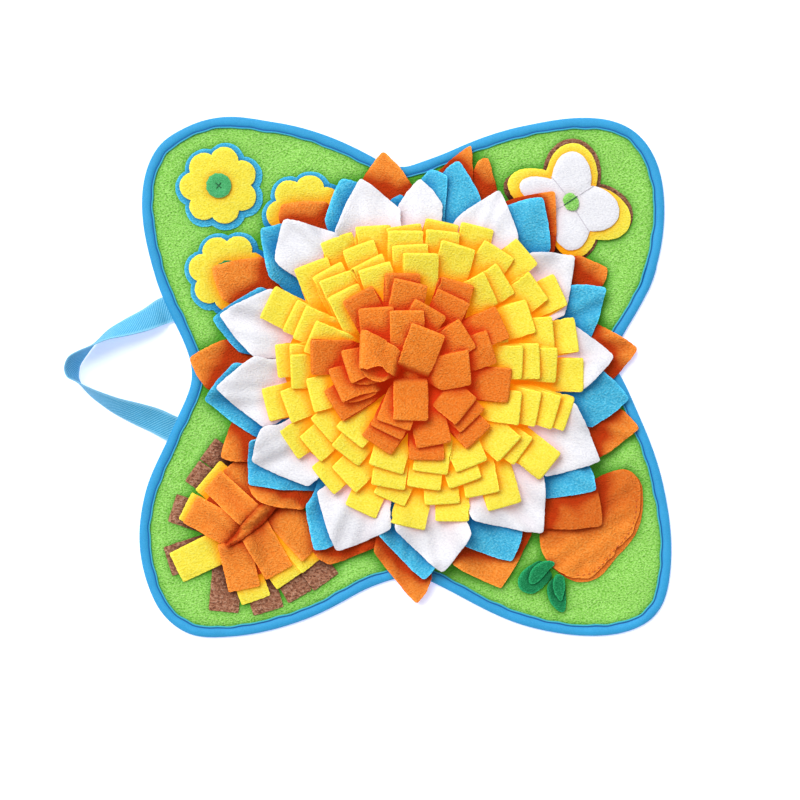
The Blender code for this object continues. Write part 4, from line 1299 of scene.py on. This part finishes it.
# %% [markdown]
# ## Petals
#
# Three rings of petals lie under the loops: orange, then blue, then white. Each petal is a
# fleece strip, sewn down under the flower, whose free end is cut to a corner between two
# shoulders. It leaves the seam a little above the mat and droops to its tip. Two long soft
# folds, one side a little rolled, a rippled edge and wavy sides keep it from looking like card.
#
# Rows give a petal's aim, its tip's reach, then for each shoulder the angle off its aim and the
# reach. Two orange petals hover over the flowers that they hide.

# %% Petals
PETAL_WIDE = 44.0
PETAL_THICK = 1.8
PETAL_ROWS = {
    "orange": (
        (7, 214, 9, 179, 8, 188), (29, 210, 7.5, 191, 3.5, 198), (52.5, 219, 9.5, 186, 11, 178),
        (71, 217, 2, 212, 5.5, 191), (76, 224, 7, 194, 3, 190), (97.5, 214, 7, 191, 7, 180),
        (127.5, 203, 3.5, 191, 11, 183), (151.5, 215, 6.5, 194, 9.5, 181),
        (175.5, 212, 8, 195, 6.5, 180), (203, 197, 4.5, 175, 9.5, 174),
        (219.5, 186, 11, 163, 6, 186), (246, 195, 14, 160, 6, 190),
        (271, 215, 4, 193, 13.5, 170), (292.5, 217, 14.5, 186, 10.5, 181),
        (321.5, 227, 7.5, 201, 11, 189), (347, 219, 4, 197, 10.5, 192),
    ),
    "blue": (
        (24.5, 200, 5.5, 169, 13.5, 169), (54, 207, 7, 183, 11.5, 175), (78, 207, 4, 191, 9.5, 176),
        (85, 195, 3, 183, 4.5, 190), (94, 171, 4.5, 164, 3, 160), (110, 198, 9.5, 168, 7.5, 181),
        (136, 200, 9.5, 163, 9, 178), (164, 197, 8, 166, 14, 166), (186.5, 198, 15, 158, 10.5, 168),
        (213.5, 185, 16, 142, 11.5, 165), (240.5, 188, 4.5, 175, 10, 158),
        (273, 192, 4, 178, 15, 153), (298, 198, 7, 179, 11, 167), (328, 202, 6, 182, 11, 169),
        (354, 205, 7.5, 178, 10, 175),
    ),
    "white": (
        (5.5, 190, 12, 158, 10, 160), (36.5, 189, 9.5, 160, 14.5, 153),
        (65, 193, 9.5, 153, 12.5, 162), (88, 185, 7, 160, 7.5, 163),
        (105, 192, 13.5, 153, 10.5, 156), (129.5, 190, 10.5, 169, 11, 151),
        (162.5, 191, 10.5, 151, 14, 156), (183.5, 185, 15, 149, 10.5, 149),
        (208, 171, 18.5, 143, 9, 149), (246.5, 180, 15, 145, 16, 142),
        (278.5, 187, 11.5, 158, 15, 145), (309.5, 192, 13, 154, 17, 146),
        (335.5, 193, 14.5, 154, 12.5, 156),
    ),
}
PETAL_ROOT = 101.0
PETAL_ROOT_HALF = 17.0
HOVER = {127.5: 2.5, 151.5: 3.0}
petal_rng = np.random.default_rng(4)


def wavy_side(start, end, bulge, wave, phase, parts=7):
    """Points between two corners of a cut edge that bows out and waves, as pulled fleece does."""
    start, end = np.array(start), np.array(end)
    run = end - start
    side = np.array((run[1], -run[0])) / np.linalg.norm(run)
    points = []
    for i in range(1, parts):
        t = i / parts
        bow = math.sin(math.pi * t)
        off = bulge * bow + wave * math.sin(2 * math.pi * 1.3 * t + phase) * bow
        points.append(start + run * t + side * off)
    return points


def petal_outline(row):
    """A petal's plan: two wavy sides from its root, two shoulders and a cut corner."""
    aim, reach, left_turn, left_reach, right_turn, right_reach = row
    left = np.array(polar(aim + left_turn, left_reach))
    right = np.array(polar(aim - right_turn, right_reach))
    corner = np.array(polar(aim, reach))
    middle_aim = aim + (left_turn - right_turn) / 2
    root = np.array(polar(middle_aim, PETAL_ROOT))
    across = np.array(polar(middle_aim + 90, 1.0))
    half = min(PETAL_ROOT_HALF, 0.5 * np.linalg.norm(left - right) + 3.0)
    left_root, right_root = root + across * half, root - across * half
    wave, phase = petal_rng.uniform(1.2, 3.4, 2), petal_rng.uniform(0, 6, 2)
    narrow = min(1.0, (left_turn + right_turn) / 14)
    wave, bow = wave * narrow, 2.0 * narrow
    path = [right_root, *wavy_side(right_root, right, bow, wave[0], phase[0]),
            right, *wavy_side(right, corner, 0.7 * bow, 0.5, phase[1], 4),
            corner, *wavy_side(corner, left, 0.7 * bow, 0.5, phase[0], 4),
            left, *wavy_side(left, left_root, bow, wave[1], phase[1]), left_root]
    corner_round = petal_rng.uniform(1.8, 3.6) if left_turn + right_turn > 10 else 1.4
    return rounded([tuple(p) for p in path], corner_round, 3)


def petal_shape(row, folds):
    """How a petal stands off what is below: an arch, long folds, a rolled side, a rippled edge."""
    aim, reach, left_turn, _, right_turn, _ = row
    middle_aim = math.radians(aim + (left_turn - right_turn) / 2)
    out = np.array((math.cos(middle_aim), math.sin(middle_aim)))
    across = np.array((-out[1], out[0]))
    fold_at = petal_rng.uniform(-12, 0), petal_rng.uniform(4, 14)
    fold_wide = petal_rng.uniform(4.5, 8, 2)
    fold_tall = petal_rng.uniform(0.2, 1.0, 2) * folds
    hover = HOVER.get(aim, 0.0)
    drift = petal_rng.uniform(-14, 14)
    roll = petal_rng.uniform(-0.17, 0.17)
    ripple, phase = petal_rng.uniform(1.0, 2.8), petal_rng.uniform(0, 6)
    tip_lift = petal_rng.uniform(0.2, 2.4)

    def shape(spots):
        far = (spots @ out - PETAL_ROOT) / (reach - PETAL_ROOT)
        side = spots @ across
        arch = 1.4 * smooth_step(0.0, 0.35, far) * smooth_step(1.05, 0.4, far)
        arch = arch + hover * smooth_step(0.1, 0.6, far)
        fold = 0.0
        for at, wide, tall in zip(fold_at, fold_wide, fold_tall):
            fold = fold + tall * np.exp(-((side - at - drift * (far - 0.6)) / wide) ** 2)
        fold = fold * smooth_step(0.15, 0.55, far) * smooth_step(1.3, 0.85, far)
        rolled = np.maximum(0.0, roll * side * smooth_step(0.3, 0.8, far))
        rippled = ripple * (1 + np.sin(7.5 * far + phase + 0.06 * side)) * np.abs(side / 19) ** 1.5
        return arch + fold + rolled + rippled + tip_lift * smooth_step(0.75, 1.0, far)
    return shape


def make_petals():
    """Each ring's petals, laid from the first row to the last."""
    finish = {"orange": flat_orange, "blue": sky, "white": white}
    sewn_at = {"orange": 3.4, "blue": 5.4, "white": 7.4}
    folds = {"orange": 3.6, "blue": 4.0, "white": 5.2}
    for name, rows in PETAL_ROWS.items():
        laid_pieces = [
            lay(petal_outline(row), PETAL_THICK, lowest=sewn_at[name],
                shape=petal_shape(row, folds[name]), spacing=3.2, steps=14,
                soften=30 if row[0] in HOVER else 9, press=1.2)
            for row in rows
        ]
        piece = make_piece(f"petal_ring_{name}", [made[:2] for made in laid_pieces], finish[name],
                           f"petals_{name}")
        cut_from(piece, sum(made[2] for made in laid_pieces), PETAL_WIDE)


make_petals()

# %% [markdown]
# ## A folded ribbon
#
# A loop is a ribbon of fleece. It is made from a net of points, stations along it and places
# across it, in the middle of the cloth. Each point is moved to both sides by half the cloth's
# thickness, and the two faces are joined by soft edges. The same kind of net, laid over a loop,
# raises the map of heights.

# %% A folded ribbon
def bent_sheet(points, thick):
    """Closed ribbon from a net of points (stations, across, 3): two faces and soft edges."""
    stations, across, _ = points.shape
    run = np.gradient(points, axis=0)
    wide = np.gradient(points, axis=1)
    face = np.cross(run, wide)
    face /= np.maximum(np.linalg.norm(face, axis=2), 1e-9)[..., None]
    wide /= np.maximum(np.linalg.norm(wide, axis=2), 1e-9)[..., None]
    rim = np.array([0.62] + [1.0] * (across - 2) + [0.62])[None, :, None]
    front = points + face * rim * thick / 2
    back = points - face * rim * thick / 2
    right = points[:, -1:] + wide[:, -1:] * 0.4 * thick
    left = points[:, :1] - wide[:, :1] * 0.4 * thick
    ring = np.concatenate([front, right, back[:, ::-1], left], axis=1)
    # Its side edges are drawn paler, partly for the cloth's paler inside and partly as a painted
    # highlight.
    worn = np.array([0.6] + [0.0] * (across - 2) + [0.6])
    worn = np.concatenate([worn, [1.0], worn, [1.0]])
    ring = np.concatenate([ring, np.broadcast_to(worn[None, :, None], (*ring.shape[:2], 1))], axis=2)
    return ring.reshape(-1, 4), ring_faces(stations, ring.shape[1])


def raise_net(net):
    """Takes a net of points (stations, across, 3) into the map."""
    rows, columns = net.shape[:2]
    index = np.arange(rows * columns).reshape(rows, columns)
    quads = [index[:-1, :-1], index[1:, :-1], index[1:, 1:], index[:-1, 1:]]
    quads = np.stack([q.ravel() for q in quads], axis=1)
    triangles = np.vstack([quads[:, [0, 1, 2]], quads[:, [0, 2, 3]]])
    points = net.reshape(-1, 3)
    raise_map(points[:, :2], points[:, 2], triangles)


def grid_mean(z):
    """The mean of each height's four neighbours on a net."""
    padded = np.pad(z, 1, mode="edge")
    return (padded[:-2, 1:-1] + padded[2:, 1:-1] + padded[1:-1, :-2] + padded[1:-1, 2:]) / 4


print("faces of a ribbon with 3 stations and 3 places:", len(ring_faces(3, 8)))

# %% [markdown]
# ## The shape of the heap
#
# The middle of the flower is a dense heap of loops: a fleece strip about 31 mm wide and 150 mm
# long, folded end to end and sewn down by its two ends. Two tables steer the heap by how far out
# a loop's fold is in plan: one says how far out its root is, the other how high it lies at
# least. A formula gives the gathered cloth under the roots, and another presses the heap
# together above a certain height, as its own weight does.

# %% The shape of the heap
LOOP_WIDE = 31.0
LOOP_THICK = 1.5
LOOP_ALONG = 22
LOOP_RUN = np.linspace(0, 1, LOOP_ALONG)
LOOP_PLACES = np.array((-1.0, -0.93, -0.7, -0.35, 0.0, 0.35, 0.7, 0.93, 1.0))
LOOP_FOLD = 6
ROOT_GAP = 0.8
HEART_LOW, HEART_TALL, HEART_WIDE = 4.0, 30.0, 23.0
SOFT_FROM, SOFT_SHARE = 18.0, 0.78
ROOT_BY_REACH = ((40, 3.0), (46, 4.0), (63, 11.0), (79, 26.0), (94, 42.0), (107, 55.0),
                 (121, 68.0), (135, 80.0), (150, 93.0), (165, 104.0))
DOME = ((40, 48.0), (46, 47.0), (63, 43.0), (79, 39.0), (94, 35.0), (107, 31.0), (121, 27.0),
        (135, 22.5), (150, 17.0), (165, 12.0))
loop_rng = np.random.default_rng(31)


def heart_level(reach):
    """The gathered cloth under the loops' roots: low round the edge, a mound in the middle."""
    return HEART_LOW + HEART_TALL * np.exp(-((np.asarray(reach) / HEART_WIDE) ** 2))


def settled(z):
    """The heap's own weight presses it together above a certain height."""
    return np.where(z > SOFT_FROM, SOFT_FROM + SOFT_SHARE * (z - SOFT_FROM), z)


print("a loop's net has", LOOP_ALONG, "by", len(LOOP_PLACES), "points in each of its two leaves")

# %% [markdown]
# ## One folded loop
#
# A loop rises from its root, bends over and lies outwards on the loops outside it, with its
# fold at the free end. Along it runs a middle sheet, which is laid on the map as a nearly flat
# card: it clears what lies below, and may tilt and slope a little. Its two leaves are that
# sheet moved to both sides by half the opening, joined by a round fold. Places in plan are as
# seen from the camera, so a high loop is moved a little towards the middle of the view.

# %% One folded loop
def loop_plan(end, way, side, long, skew, inner, wide):
    """The middle sheet in plan: how far out its stations are, and its net of spots."""
    t = LOOP_RUN
    out = long * (0.3 * t + 0.7 * t**1.35)
    half = wide / 2 * (inner + (1 - inner) * smooth_step(0.0, 0.5, t))
    plan = (end - way * long)[None, None] + way * out[:, None, None]
    plan = plan + side * (half[:, None] * LOOP_PLACES)[..., None]
    turned = skew * half[:, None] * LOOP_PLACES * (t**2)[:, None]
    rounded_end = 0.4 * np.abs(LOOP_PLACES) ** 8 * (t**4)[:, None]
    return out, plan + way * (turned - rounded_end)[..., None]


def card_plane(rests, s, v):
    """A flat card over a net of least heights: its height at each station and place across."""
    along, across = np.meshgrid(s, v, indexing="ij")
    terms = np.column_stack([np.ones(rests.size), along.ravel(), across.ravel()])
    _, slope, tilt = np.linalg.lstsq(terms, rests.ravel(), rcond=None)[0]
    slope = min(0.15, max(-0.22, slope))
    tilt = min(0.22, max(-0.22, tilt))
    flat = slope * along + tilt * across
    return flat + np.quantile(rests - flat, 0.8)


def loop_levels(plan, out, gap, rooted, tall, steep, roll, wide, spring):
    """The middle sheet's heights: it rises from its root, then lies as a card on the map."""
    share = out / out[-1]
    across = len(LOOP_PLACES)
    rise = 1 - (1 - np.clip(share / steep, 0, 1)) ** 2.2
    line = rooted + (tall - rooted) * rise
    half_deep = (gap + LOOP_THICK / 2)[:, None]
    lie = share >= 0.9 * steep
    rests = highest_near(plan.reshape(-1, 2), 1.3).reshape(LOOP_ALONG, across) + half_deep + 0.15
    rests = np.maximum(rests, line[:, None])
    card = card_plane(rests[lie], out[lie], LOOP_PLACES * wide / 2)
    card = card + roll * (LOOP_PLACES + 1) * wide / 4
    card = card + spring * smooth_step(0.5, 1.0, LOOP_RUN[lie])[:, None]
    lowest = np.tile(line[:, None], (1, across))
    lowest[lie] = np.maximum(card, rests[lie])
    first = lowest[lie][0]
    lowest[~lie] = rooted + (first[None] - rooted) * rise[~lie][:, None] / rise[lie][0]
    z = lowest.copy()
    for _ in range(5):
        z = np.maximum(lowest, 0.4 * z + 0.6 * grid_mean(z))
        z[0] = lowest[0]
    return z


def loop_leaves(middle, face, run, side, gap, opening, gape, mouth):
    """The whole ribbon's net: lower leaf, fold and upper leaf."""
    t = LOOP_RUN
    flat_side = np.append(side, 0.0)
    slip = loop_rng.uniform(-1.6, 1.6) * (1 - t) + gape * np.sin(math.pi * t**1.6)
    lower = middle - face * gap[:, None, None] + flat_side * slip[:, None, None]
    back = mouth * np.sin(math.pi * t**1.5)[:, None] * np.maximum(LOOP_PLACES, 0.0)[None, :]
    upper = middle + face * (gap[:, None] + 0.4 * back)[..., None] - flat_side * back[..., None]
    turns = np.linspace(-math.pi / 2, math.pi / 2, LOOP_FOLD + 2)[1:-1]
    fold = [middle[-1] + face[-1] * opening * math.sin(turn) + run[-1] * opening * math.cos(turn)
            for turn in turns]
    path = np.concatenate([lower, np.array(fold), upper[::-1]])
    waver = loop_rng.normal(0, 0.12, (len(path), 2))
    path[:, 0, :2] += side * waver[:, :1]
    path[:, -1, :2] += side * waver[:, 1:]
    return path


def fold_loop(x, y, aim, long=None, opening=1.4, roll=0.0, skew=0.0, inner=0.7, steep=0.32,
              gape=0.0, mouth=0.0, wide=LOOP_WIDE, spring=2.4):
    """One loop whose fold's middle is at x, y. Returns its solid and its flat area.

    long is how far it reaches in plan, roll lifts its left side, skew turns its fold, inner is
    its root's share of the width, steep the share of its reach in which it rises, gape how far
    its lower leaf shows beside the upper one, mouth how far the upper leaf's left edge is drawn
    back from it, and spring how far its fold stands off the loop below.
    """
    way = np.array(polar(aim, 1.0))
    side = np.array((-way[1], way[0]))
    reach = math.hypot(x, y)
    long = long or reach - np.interp(reach, *zip(*ROOT_BY_REACH))
    tall = np.interp(reach, *zip(*DOME))
    nearer = 1 - tall / camera_height
    seen = [middle + (place - middle) * nearer for place, middle in zip((x, y), VIEW_MIDDLE)]
    end = np.array(seen) - way * (opening + LOOP_THICK / 2)
    long = long - opening - LOOP_THICK / 2
    out, plan = loop_plan(end, way, side, long, skew, inner, wide)
    rooted = float(heart_level(math.hypot(*(end - way * long))))
    gap = ROOT_GAP + (opening - ROOT_GAP) * smooth_step(0.2, 1.0, LOOP_RUN) ** 1.3
    levels = loop_levels(plan, out, gap, rooted, tall, steep, roll, wide, spring)
    middle = np.dstack([plan, levels])
    run = np.gradient(middle, axis=0)
    face = unit(np.cross(run, np.gradient(middle, axis=1)))
    run = unit(run)
    path = loop_leaves(middle, face, run, side, gap, opening, gape, mouth)
    above = (middle + face * (gap[:, None, None] + LOOP_THICK / 2))[5:]
    nose = above[-1:] + run[-1:] * opening * 0.8 - face[-1:] * opening * 0.4
    raise_net(np.concatenate([above, nose]))
    length = np.linalg.norm(np.diff(path[:, len(LOOP_PLACES) // 2], axis=0), axis=1).sum()
    points, faces = bent_sheet(path, LOOP_THICK)
    # The fold's round is drawn paler as well: a painted highlight.
    worn = points[:, 3].reshape(len(path), -1)
    folded = slice(LOOP_ALONG, LOOP_ALONG + LOOP_FOLD)
    worn[folded] = np.maximum(worn[folded], 0.5)
    return (points, faces), length * wide * 0.93


print("roots of loops whose folds are 80, 120 and 160 mm out:",
      [round(float(np.interp(reach, *zip(*ROOT_BY_REACH)))) for reach in (80, 120, 160)])

# %% [markdown]
# ## Yellow loops, then orange ones
#
# Rows give where each fold's middle is in plan and which way it aims, and for a few loops how
# long, open or skewed they are. The loops go on from the outside in, each resting on the map,
# and each ring of loops is one piece. A plain sheet under the yellow loops and another under
# the orange ones stand for the cloth that they are sewn to.

# %% Yellow loops, then orange ones
GROUND_REACH = 119.0
HEART_REACH = 58.0
FOLD_COLUMNS = ("x", "y", "aim", "long", "opening", "roll", "skew", "inner", "steep", "gape",
                "mouth")
YELLOW_FOLDS = (
    (140, 82, 25), (161, 1, 0, None, 1.6, 0.0, 0.0, 0.95), (108, 118, 41), (155, 39, 7),
    (130, -86, 321), (61, 142, 78), (-138, 70, 153), (148, -37, 340), (87, -124, 285),
    (-73, 131, 109), (28, 146, 76), (-38, 142, 95), (119, 86, 38), (82, 120, 56),
    (-97, 107, 112), (-5, -143, 258), (-9, 142, 98), (37, -138, 268), (-140, -28, 195),
    (136, -35, 343), (28, 137, 86), (133, 40, 3), (-50, -129, 247), (-7, 137, 90),
    (136, 10, 356), (-52, 124, 108), (-118, -66, 215), (-86, -100, 221), (-130, 14, 184),
    (43, 124, 75), (66, -113, 280), (-117, 58, 155), (-82, 101, 117), (88, 93, 33),
    (105, -72, 326), (112, 57, 17), (28, -122, 275), (-121, -30, 201), (-3, 124, 92),
    (119, -32, 347), (120, 14, 0), (-98, -70, 221), (-74, 95, 112), (-108, 52, 157),
    (-23, -118, 245), (-66, -99, 225), (-117, 14, 180), (-44, 109, 114), (7, 116, 90),
    (-116, 4, 183), (92, -70, 318), (50, -102, 289), (74, 84, 27), (-37, 104, 109),
    (-24, -106, 261), (10, -107, 262), (102, -31, 352), (104, 13, 0), (-67, 81, 116),
    (-98, 38, 158), (-87, -53, 222), (56, -86, 293), (-65, -76, 230), (-98, -19, 196),
    (86, 48, 17), (16, -92, 261), (-26, -89, 254), (-61, -59, 229),
)
ORANGE_FOLDS = (
    (-10, 97, 90), (42, 90, 74), (-53, 78, 118), (-97, 18, 180), (85, 51, 23), (92, -9, 355),
    (63, -59, 314), (13, -80, 270), (-35, -66, 236),
    (-76, -29, 212, 50, 1.8, 0.1, 0.0, 0.9, 0.3), (-2, 89, 78), (39, 76, 64), (57, -43, 316),
    (20, -66, 282), (-26, -54, 243),
    (-74, -10, 195, 46, 2.4, 0.24, -0.17, 0.9, 0.3, 2.5, 2.0), (75, 28, 18), (17, 65, 60),
    (-35, 65, 95), (-19, -47, 249),
    (-64, 8, 190, 45, 2.8, 0.26, -0.14, 0.92, 0.3, 3.0, 3.5), (52, 41, 33), (-6, 62, 91),
    (50.8, -34.2, 321, 32, 1.5, 0.0, 0.0, 0.9, 0.2),
    (54.2, 8.6, 12, 43, 1.6, -0.05, 0.12, 0.3, 0.3),
    (-50.5, 25.3, 156, 42, 5.0, 0.42, -0.4, 0.6, 0.25, 4.0, 8.0),
    (-2.4, -42.3, 270, 39, 1.6, 0.04, 0.03, 0.97, 0.14),
    (14.8, 44.4, 69, 42, 1.6, -0.06, 0.0, 0.92, 0.14),
)
YELLOW_RINGS = ((143, "loops_yellow_4"), (128, "loops_yellow_3"), (113, "loops_yellow_2"),
                (0, "loops_yellow_1"))
ORANGE_RINGS = ((86, "loops_orange_4"), (71, "loops_orange_3"), (55, "loops_orange_2"),
                (0, "loops_orange_1"))


def make_loops(folds, rings, material, below):
    """All loops of one colour, a piece for each ring. rings say how far out each one starts."""
    solids = {node: [] for _, node in rings}
    areas = {node: 0.0 for _, node in rings}
    for row in folds:
        own = {
            "opening": loop_rng.uniform(1.3, 2.1), "roll": loop_rng.uniform(-0.12, 0.12),
            "skew": loop_rng.uniform(-0.04, 0.04), "wide": LOOP_WIDE + loop_rng.uniform(-1.2, 1.2),
            "spring": loop_rng.uniform(1.2, 3.4), "gape": loop_rng.uniform(-1.8, 1.8),
        }
        own.update(zip(FOLD_COLUMNS, row))
        node = next(node for least, node in rings if math.hypot(own["x"], own["y"]) > least)
        (points, faces), area = fold_loop(**own)
        points[:, 2] = settled(points[:, 2])
        solids[node].append((points, faces))
        areas[node] += area
    for _, node in rings:
        sewn_on = {"loops_orange_1": (heart, heart_area), "loops_yellow_1": (ground, ground_area)}
        if node in sewn_on:
            solids[node].append(sewn_on[node][0])
            areas[node] += sewn_on[node][1]
        piece = make_piece(node.replace("loops", "folded"), solids[node], material, node)
        cut_from(piece, areas[node], LOOP_WIDE)
        below = piece.name
    return below


ring = [polar(6 * i, GROUND_REACH + 1.5 * math.sin(3 * i)) for i in range(60)]
*ground, ground_area = lay(ring, 1.6, spacing=5.0)
ring = [polar(10 * i, HEART_REACH) for i in range(36)]
*heart, heart_area = lay(
    ring, 2.0, spacing=4.5, shape=lambda spots: heart_level(np.hypot(*spots.T)) - HEART_LOW
)
resting = make_loops(YELLOW_FOLDS, YELLOW_RINGS, yellow, "petal_ring_white")
make_loops(ORANGE_FOLDS, ORANGE_RINGS, orange, resting)
heights = settled(heights)
print("height of the heap in mm:", round(float(heights.max()), 1))

# %% [markdown]
# ## Creases
#
# Deep between two loops light reaches the cloth only after it has bounced from cloth to cloth,
# and each bounce deepens its colour: yellow turns amber there, and orange turns red. A render
# follows only a few bounces. So each corner of each mesh gets a number that says how far its
# neighbours on the map of heights stand over it, and with it the cloth gets a painted shade, a
# darker, fuller colour, and a painted glow. Some pieces take this more fully than others, and
# two look for what stands over them further away.
#
# The same number also carries painted shade that deepens one orange petal all over, the
# carrot's top under the petal, the low parts of the orange loops and the cloth down in the
# creases beside the ridge, and painted light that pales two orange petals all over.

# %% Creases
NEAR_REACHES = (2.0, 3.8, 6.5, 10.0)
FAR_REACHES = (*NEAR_REACHES, 15.0, 22.0)
WIDER = ("petal_ring_orange", "carrot_top_layer")
# How fully each piece takes the painted crease shade.
PAINTED_SHADE_SCALE = {"petal_ring_orange": 2.2, "carrot_top_layer": 1.4, "petal_ring_blue": 0.9,
          "mat_fleece": 1.3}
# Orange petals by direction, each deepened by painted shade (above 0) or paled by painted light (below
# 0) all over.
PETAL_PAINTED_LIGHT_AND_SHADE = ((-71.0, -0.5), (-40.0, 0.5), (98.0, -0.2))


def crease_depth(spots, levels, reaches):
    """0 in the open, towards 1 where what lies round a spot stands far above it."""
    total = np.zeros(len(spots))
    for turn in np.arange(16) * math.pi / 8:
        steepest = np.zeros(len(spots))
        for away in reaches:
            step = (away * math.cos(turn), away * math.sin(turn))
            steepest = np.maximum(steepest, (heights[cells(spots + step)] - levels - 0.9) / away)
        total += steepest / np.sqrt(1 + steepest**2)
    return np.clip(2.1 * (total / 16 - 0.06), 0.0, 1.0)


def painted_light_and_shade(name, spots):
    """How much painted shade deepens, or painted light pales, parts of some pieces."""
    painted_tone = np.zeros(len(spots))
    # Painted shade all over one orange petal, and painted light all over two others.
    if name == "petal_ring_orange":
        direction = direction_of(spots)
        for middle, deeper in PETAL_PAINTED_LIGHT_AND_SHADE:
            painted_tone += deeper * smooth_step(15.0, 10.0, np.abs((direction - middle + 180) % 360 - 180))
    # Painted shade on the carrot's top, under the petal, and a little less painted crease shade on the
    # rest.
    if name == "carrot_top_layer":
        painted_tone += 0.5 * smooth_step(-150.0, -115.0, spots[:, 1]) - 0.1
    # Painted shade on the low parts of the orange loops.
    if "folded_orange" in name:
        painted_tone += 0.22 * smooth_step(58.0, 44.0, spots[:, 2])
    # Painted shade down in the creases beside the ridge, deepest along them.
    if name == "gathered_orange":
        rows = through(CREASE_ROWS, 5)
        creases = np.vstack((rows[:, :2], rows[:, 2:]))
        gaps = np.hypot(*(spots[:, None, :2] - creases[None]).transpose(2, 0, 1)).min(axis=1)
        painted_tone += 0.6 * smooth_step(3.0, 0.6, gaps) + 0.18 * smooth_step(20.0, 3.0, gaps)
    return painted_tone


def smoothed(depths, mesh):
    """The same depths, evened out over each corner's neighbours."""
    pairs = np.empty(2 * len(mesh.edges), int)
    mesh.edges.foreach_get("vertices", pairs)
    pairs = pairs.reshape(-1, 2)
    degree = np.bincount(pairs.ravel(), minlength=len(depths))
    for _ in range(3):
        depths = 0.4 * depths + 0.6 * neighbour_mean(depths, pairs, degree)
    return depths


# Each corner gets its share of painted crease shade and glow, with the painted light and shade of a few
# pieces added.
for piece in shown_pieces():
    places = np.empty(3 * len(piece.data.vertices))
    piece.data.vertices.foreach_get("co", places)
    places = places.reshape(-1, 3) / MM
    reaches = FAR_REACHES if piece.name in WIDER else NEAR_REACHES
    depths = crease_depth(places[:, :2], places[:, 2], reaches) * PAINTED_SHADE_SCALE.get(piece.name, 1.0)
    if "folded" not in piece.name:
        depths = smoothed(depths, piece.data)
    depths = np.clip(depths + painted_light_and_shade(piece.name, places), 0.0, 1.0)
    piece.data.attributes.new("painted_crease_shade", "FLOAT", "POINT").data.foreach_set("value", depths)
    if "folded" in piece.name:
        print(piece.name, "mean depth in its creases:", round(float(depths.mean()), 2))

# %% [markdown]
# ## Floor and finish
#
# A plain pale floor takes the soft shadow. It glows a little, like paper on a light table, so
# that the shadow on it stays pale and cool.

# %% Floor and finish
FLOOR_HALF = 12.0
FLOOR_LEVEL = -0.4 * MM

floor_corners = [(x * FLOOR_HALF, y * FLOOR_HALF, FLOOR_LEVEL)
                 for x, y in ((-1, -1), (1, -1), (1, 1), (-1, 1))]
floor_mesh = bpy.data.meshes.new("floor")
floor_mesh.from_pydata(floor_corners, [], [(0, 1, 2, 3)])
floor = bpy.data.objects.new("floor", floor_mesh)
scene.collection.objects.link(floor)
paper, paper_tree, paper_shader = blank_material("white_paper", 0.9)
paper_grain = add_node(paper_tree, "ShaderNodeTexNoise", {"Scale": 60.0, "Detail": 2.0}).outputs["Fac"]
paper_ramp = add_node(paper_tree, "ShaderNodeValToRGB", {"Fac": paper_grain})
paper_ramp.color_ramp.elements[0].color = linear("#FAFBFC")
paper_ramp.color_ramp.elements[1].color = linear("#FDFDFD")
paper_tree.links.new(paper_ramp.outputs["Color"], paper_shader.inputs["Base Color"])
paper_shader.inputs["Emission Color"].default_value = linear("#A3ABD4")
paper_shader.inputs["Emission Strength"].default_value = 0.75
floor_mesh.materials.append(paper)

bpy.context.view_layer.update()
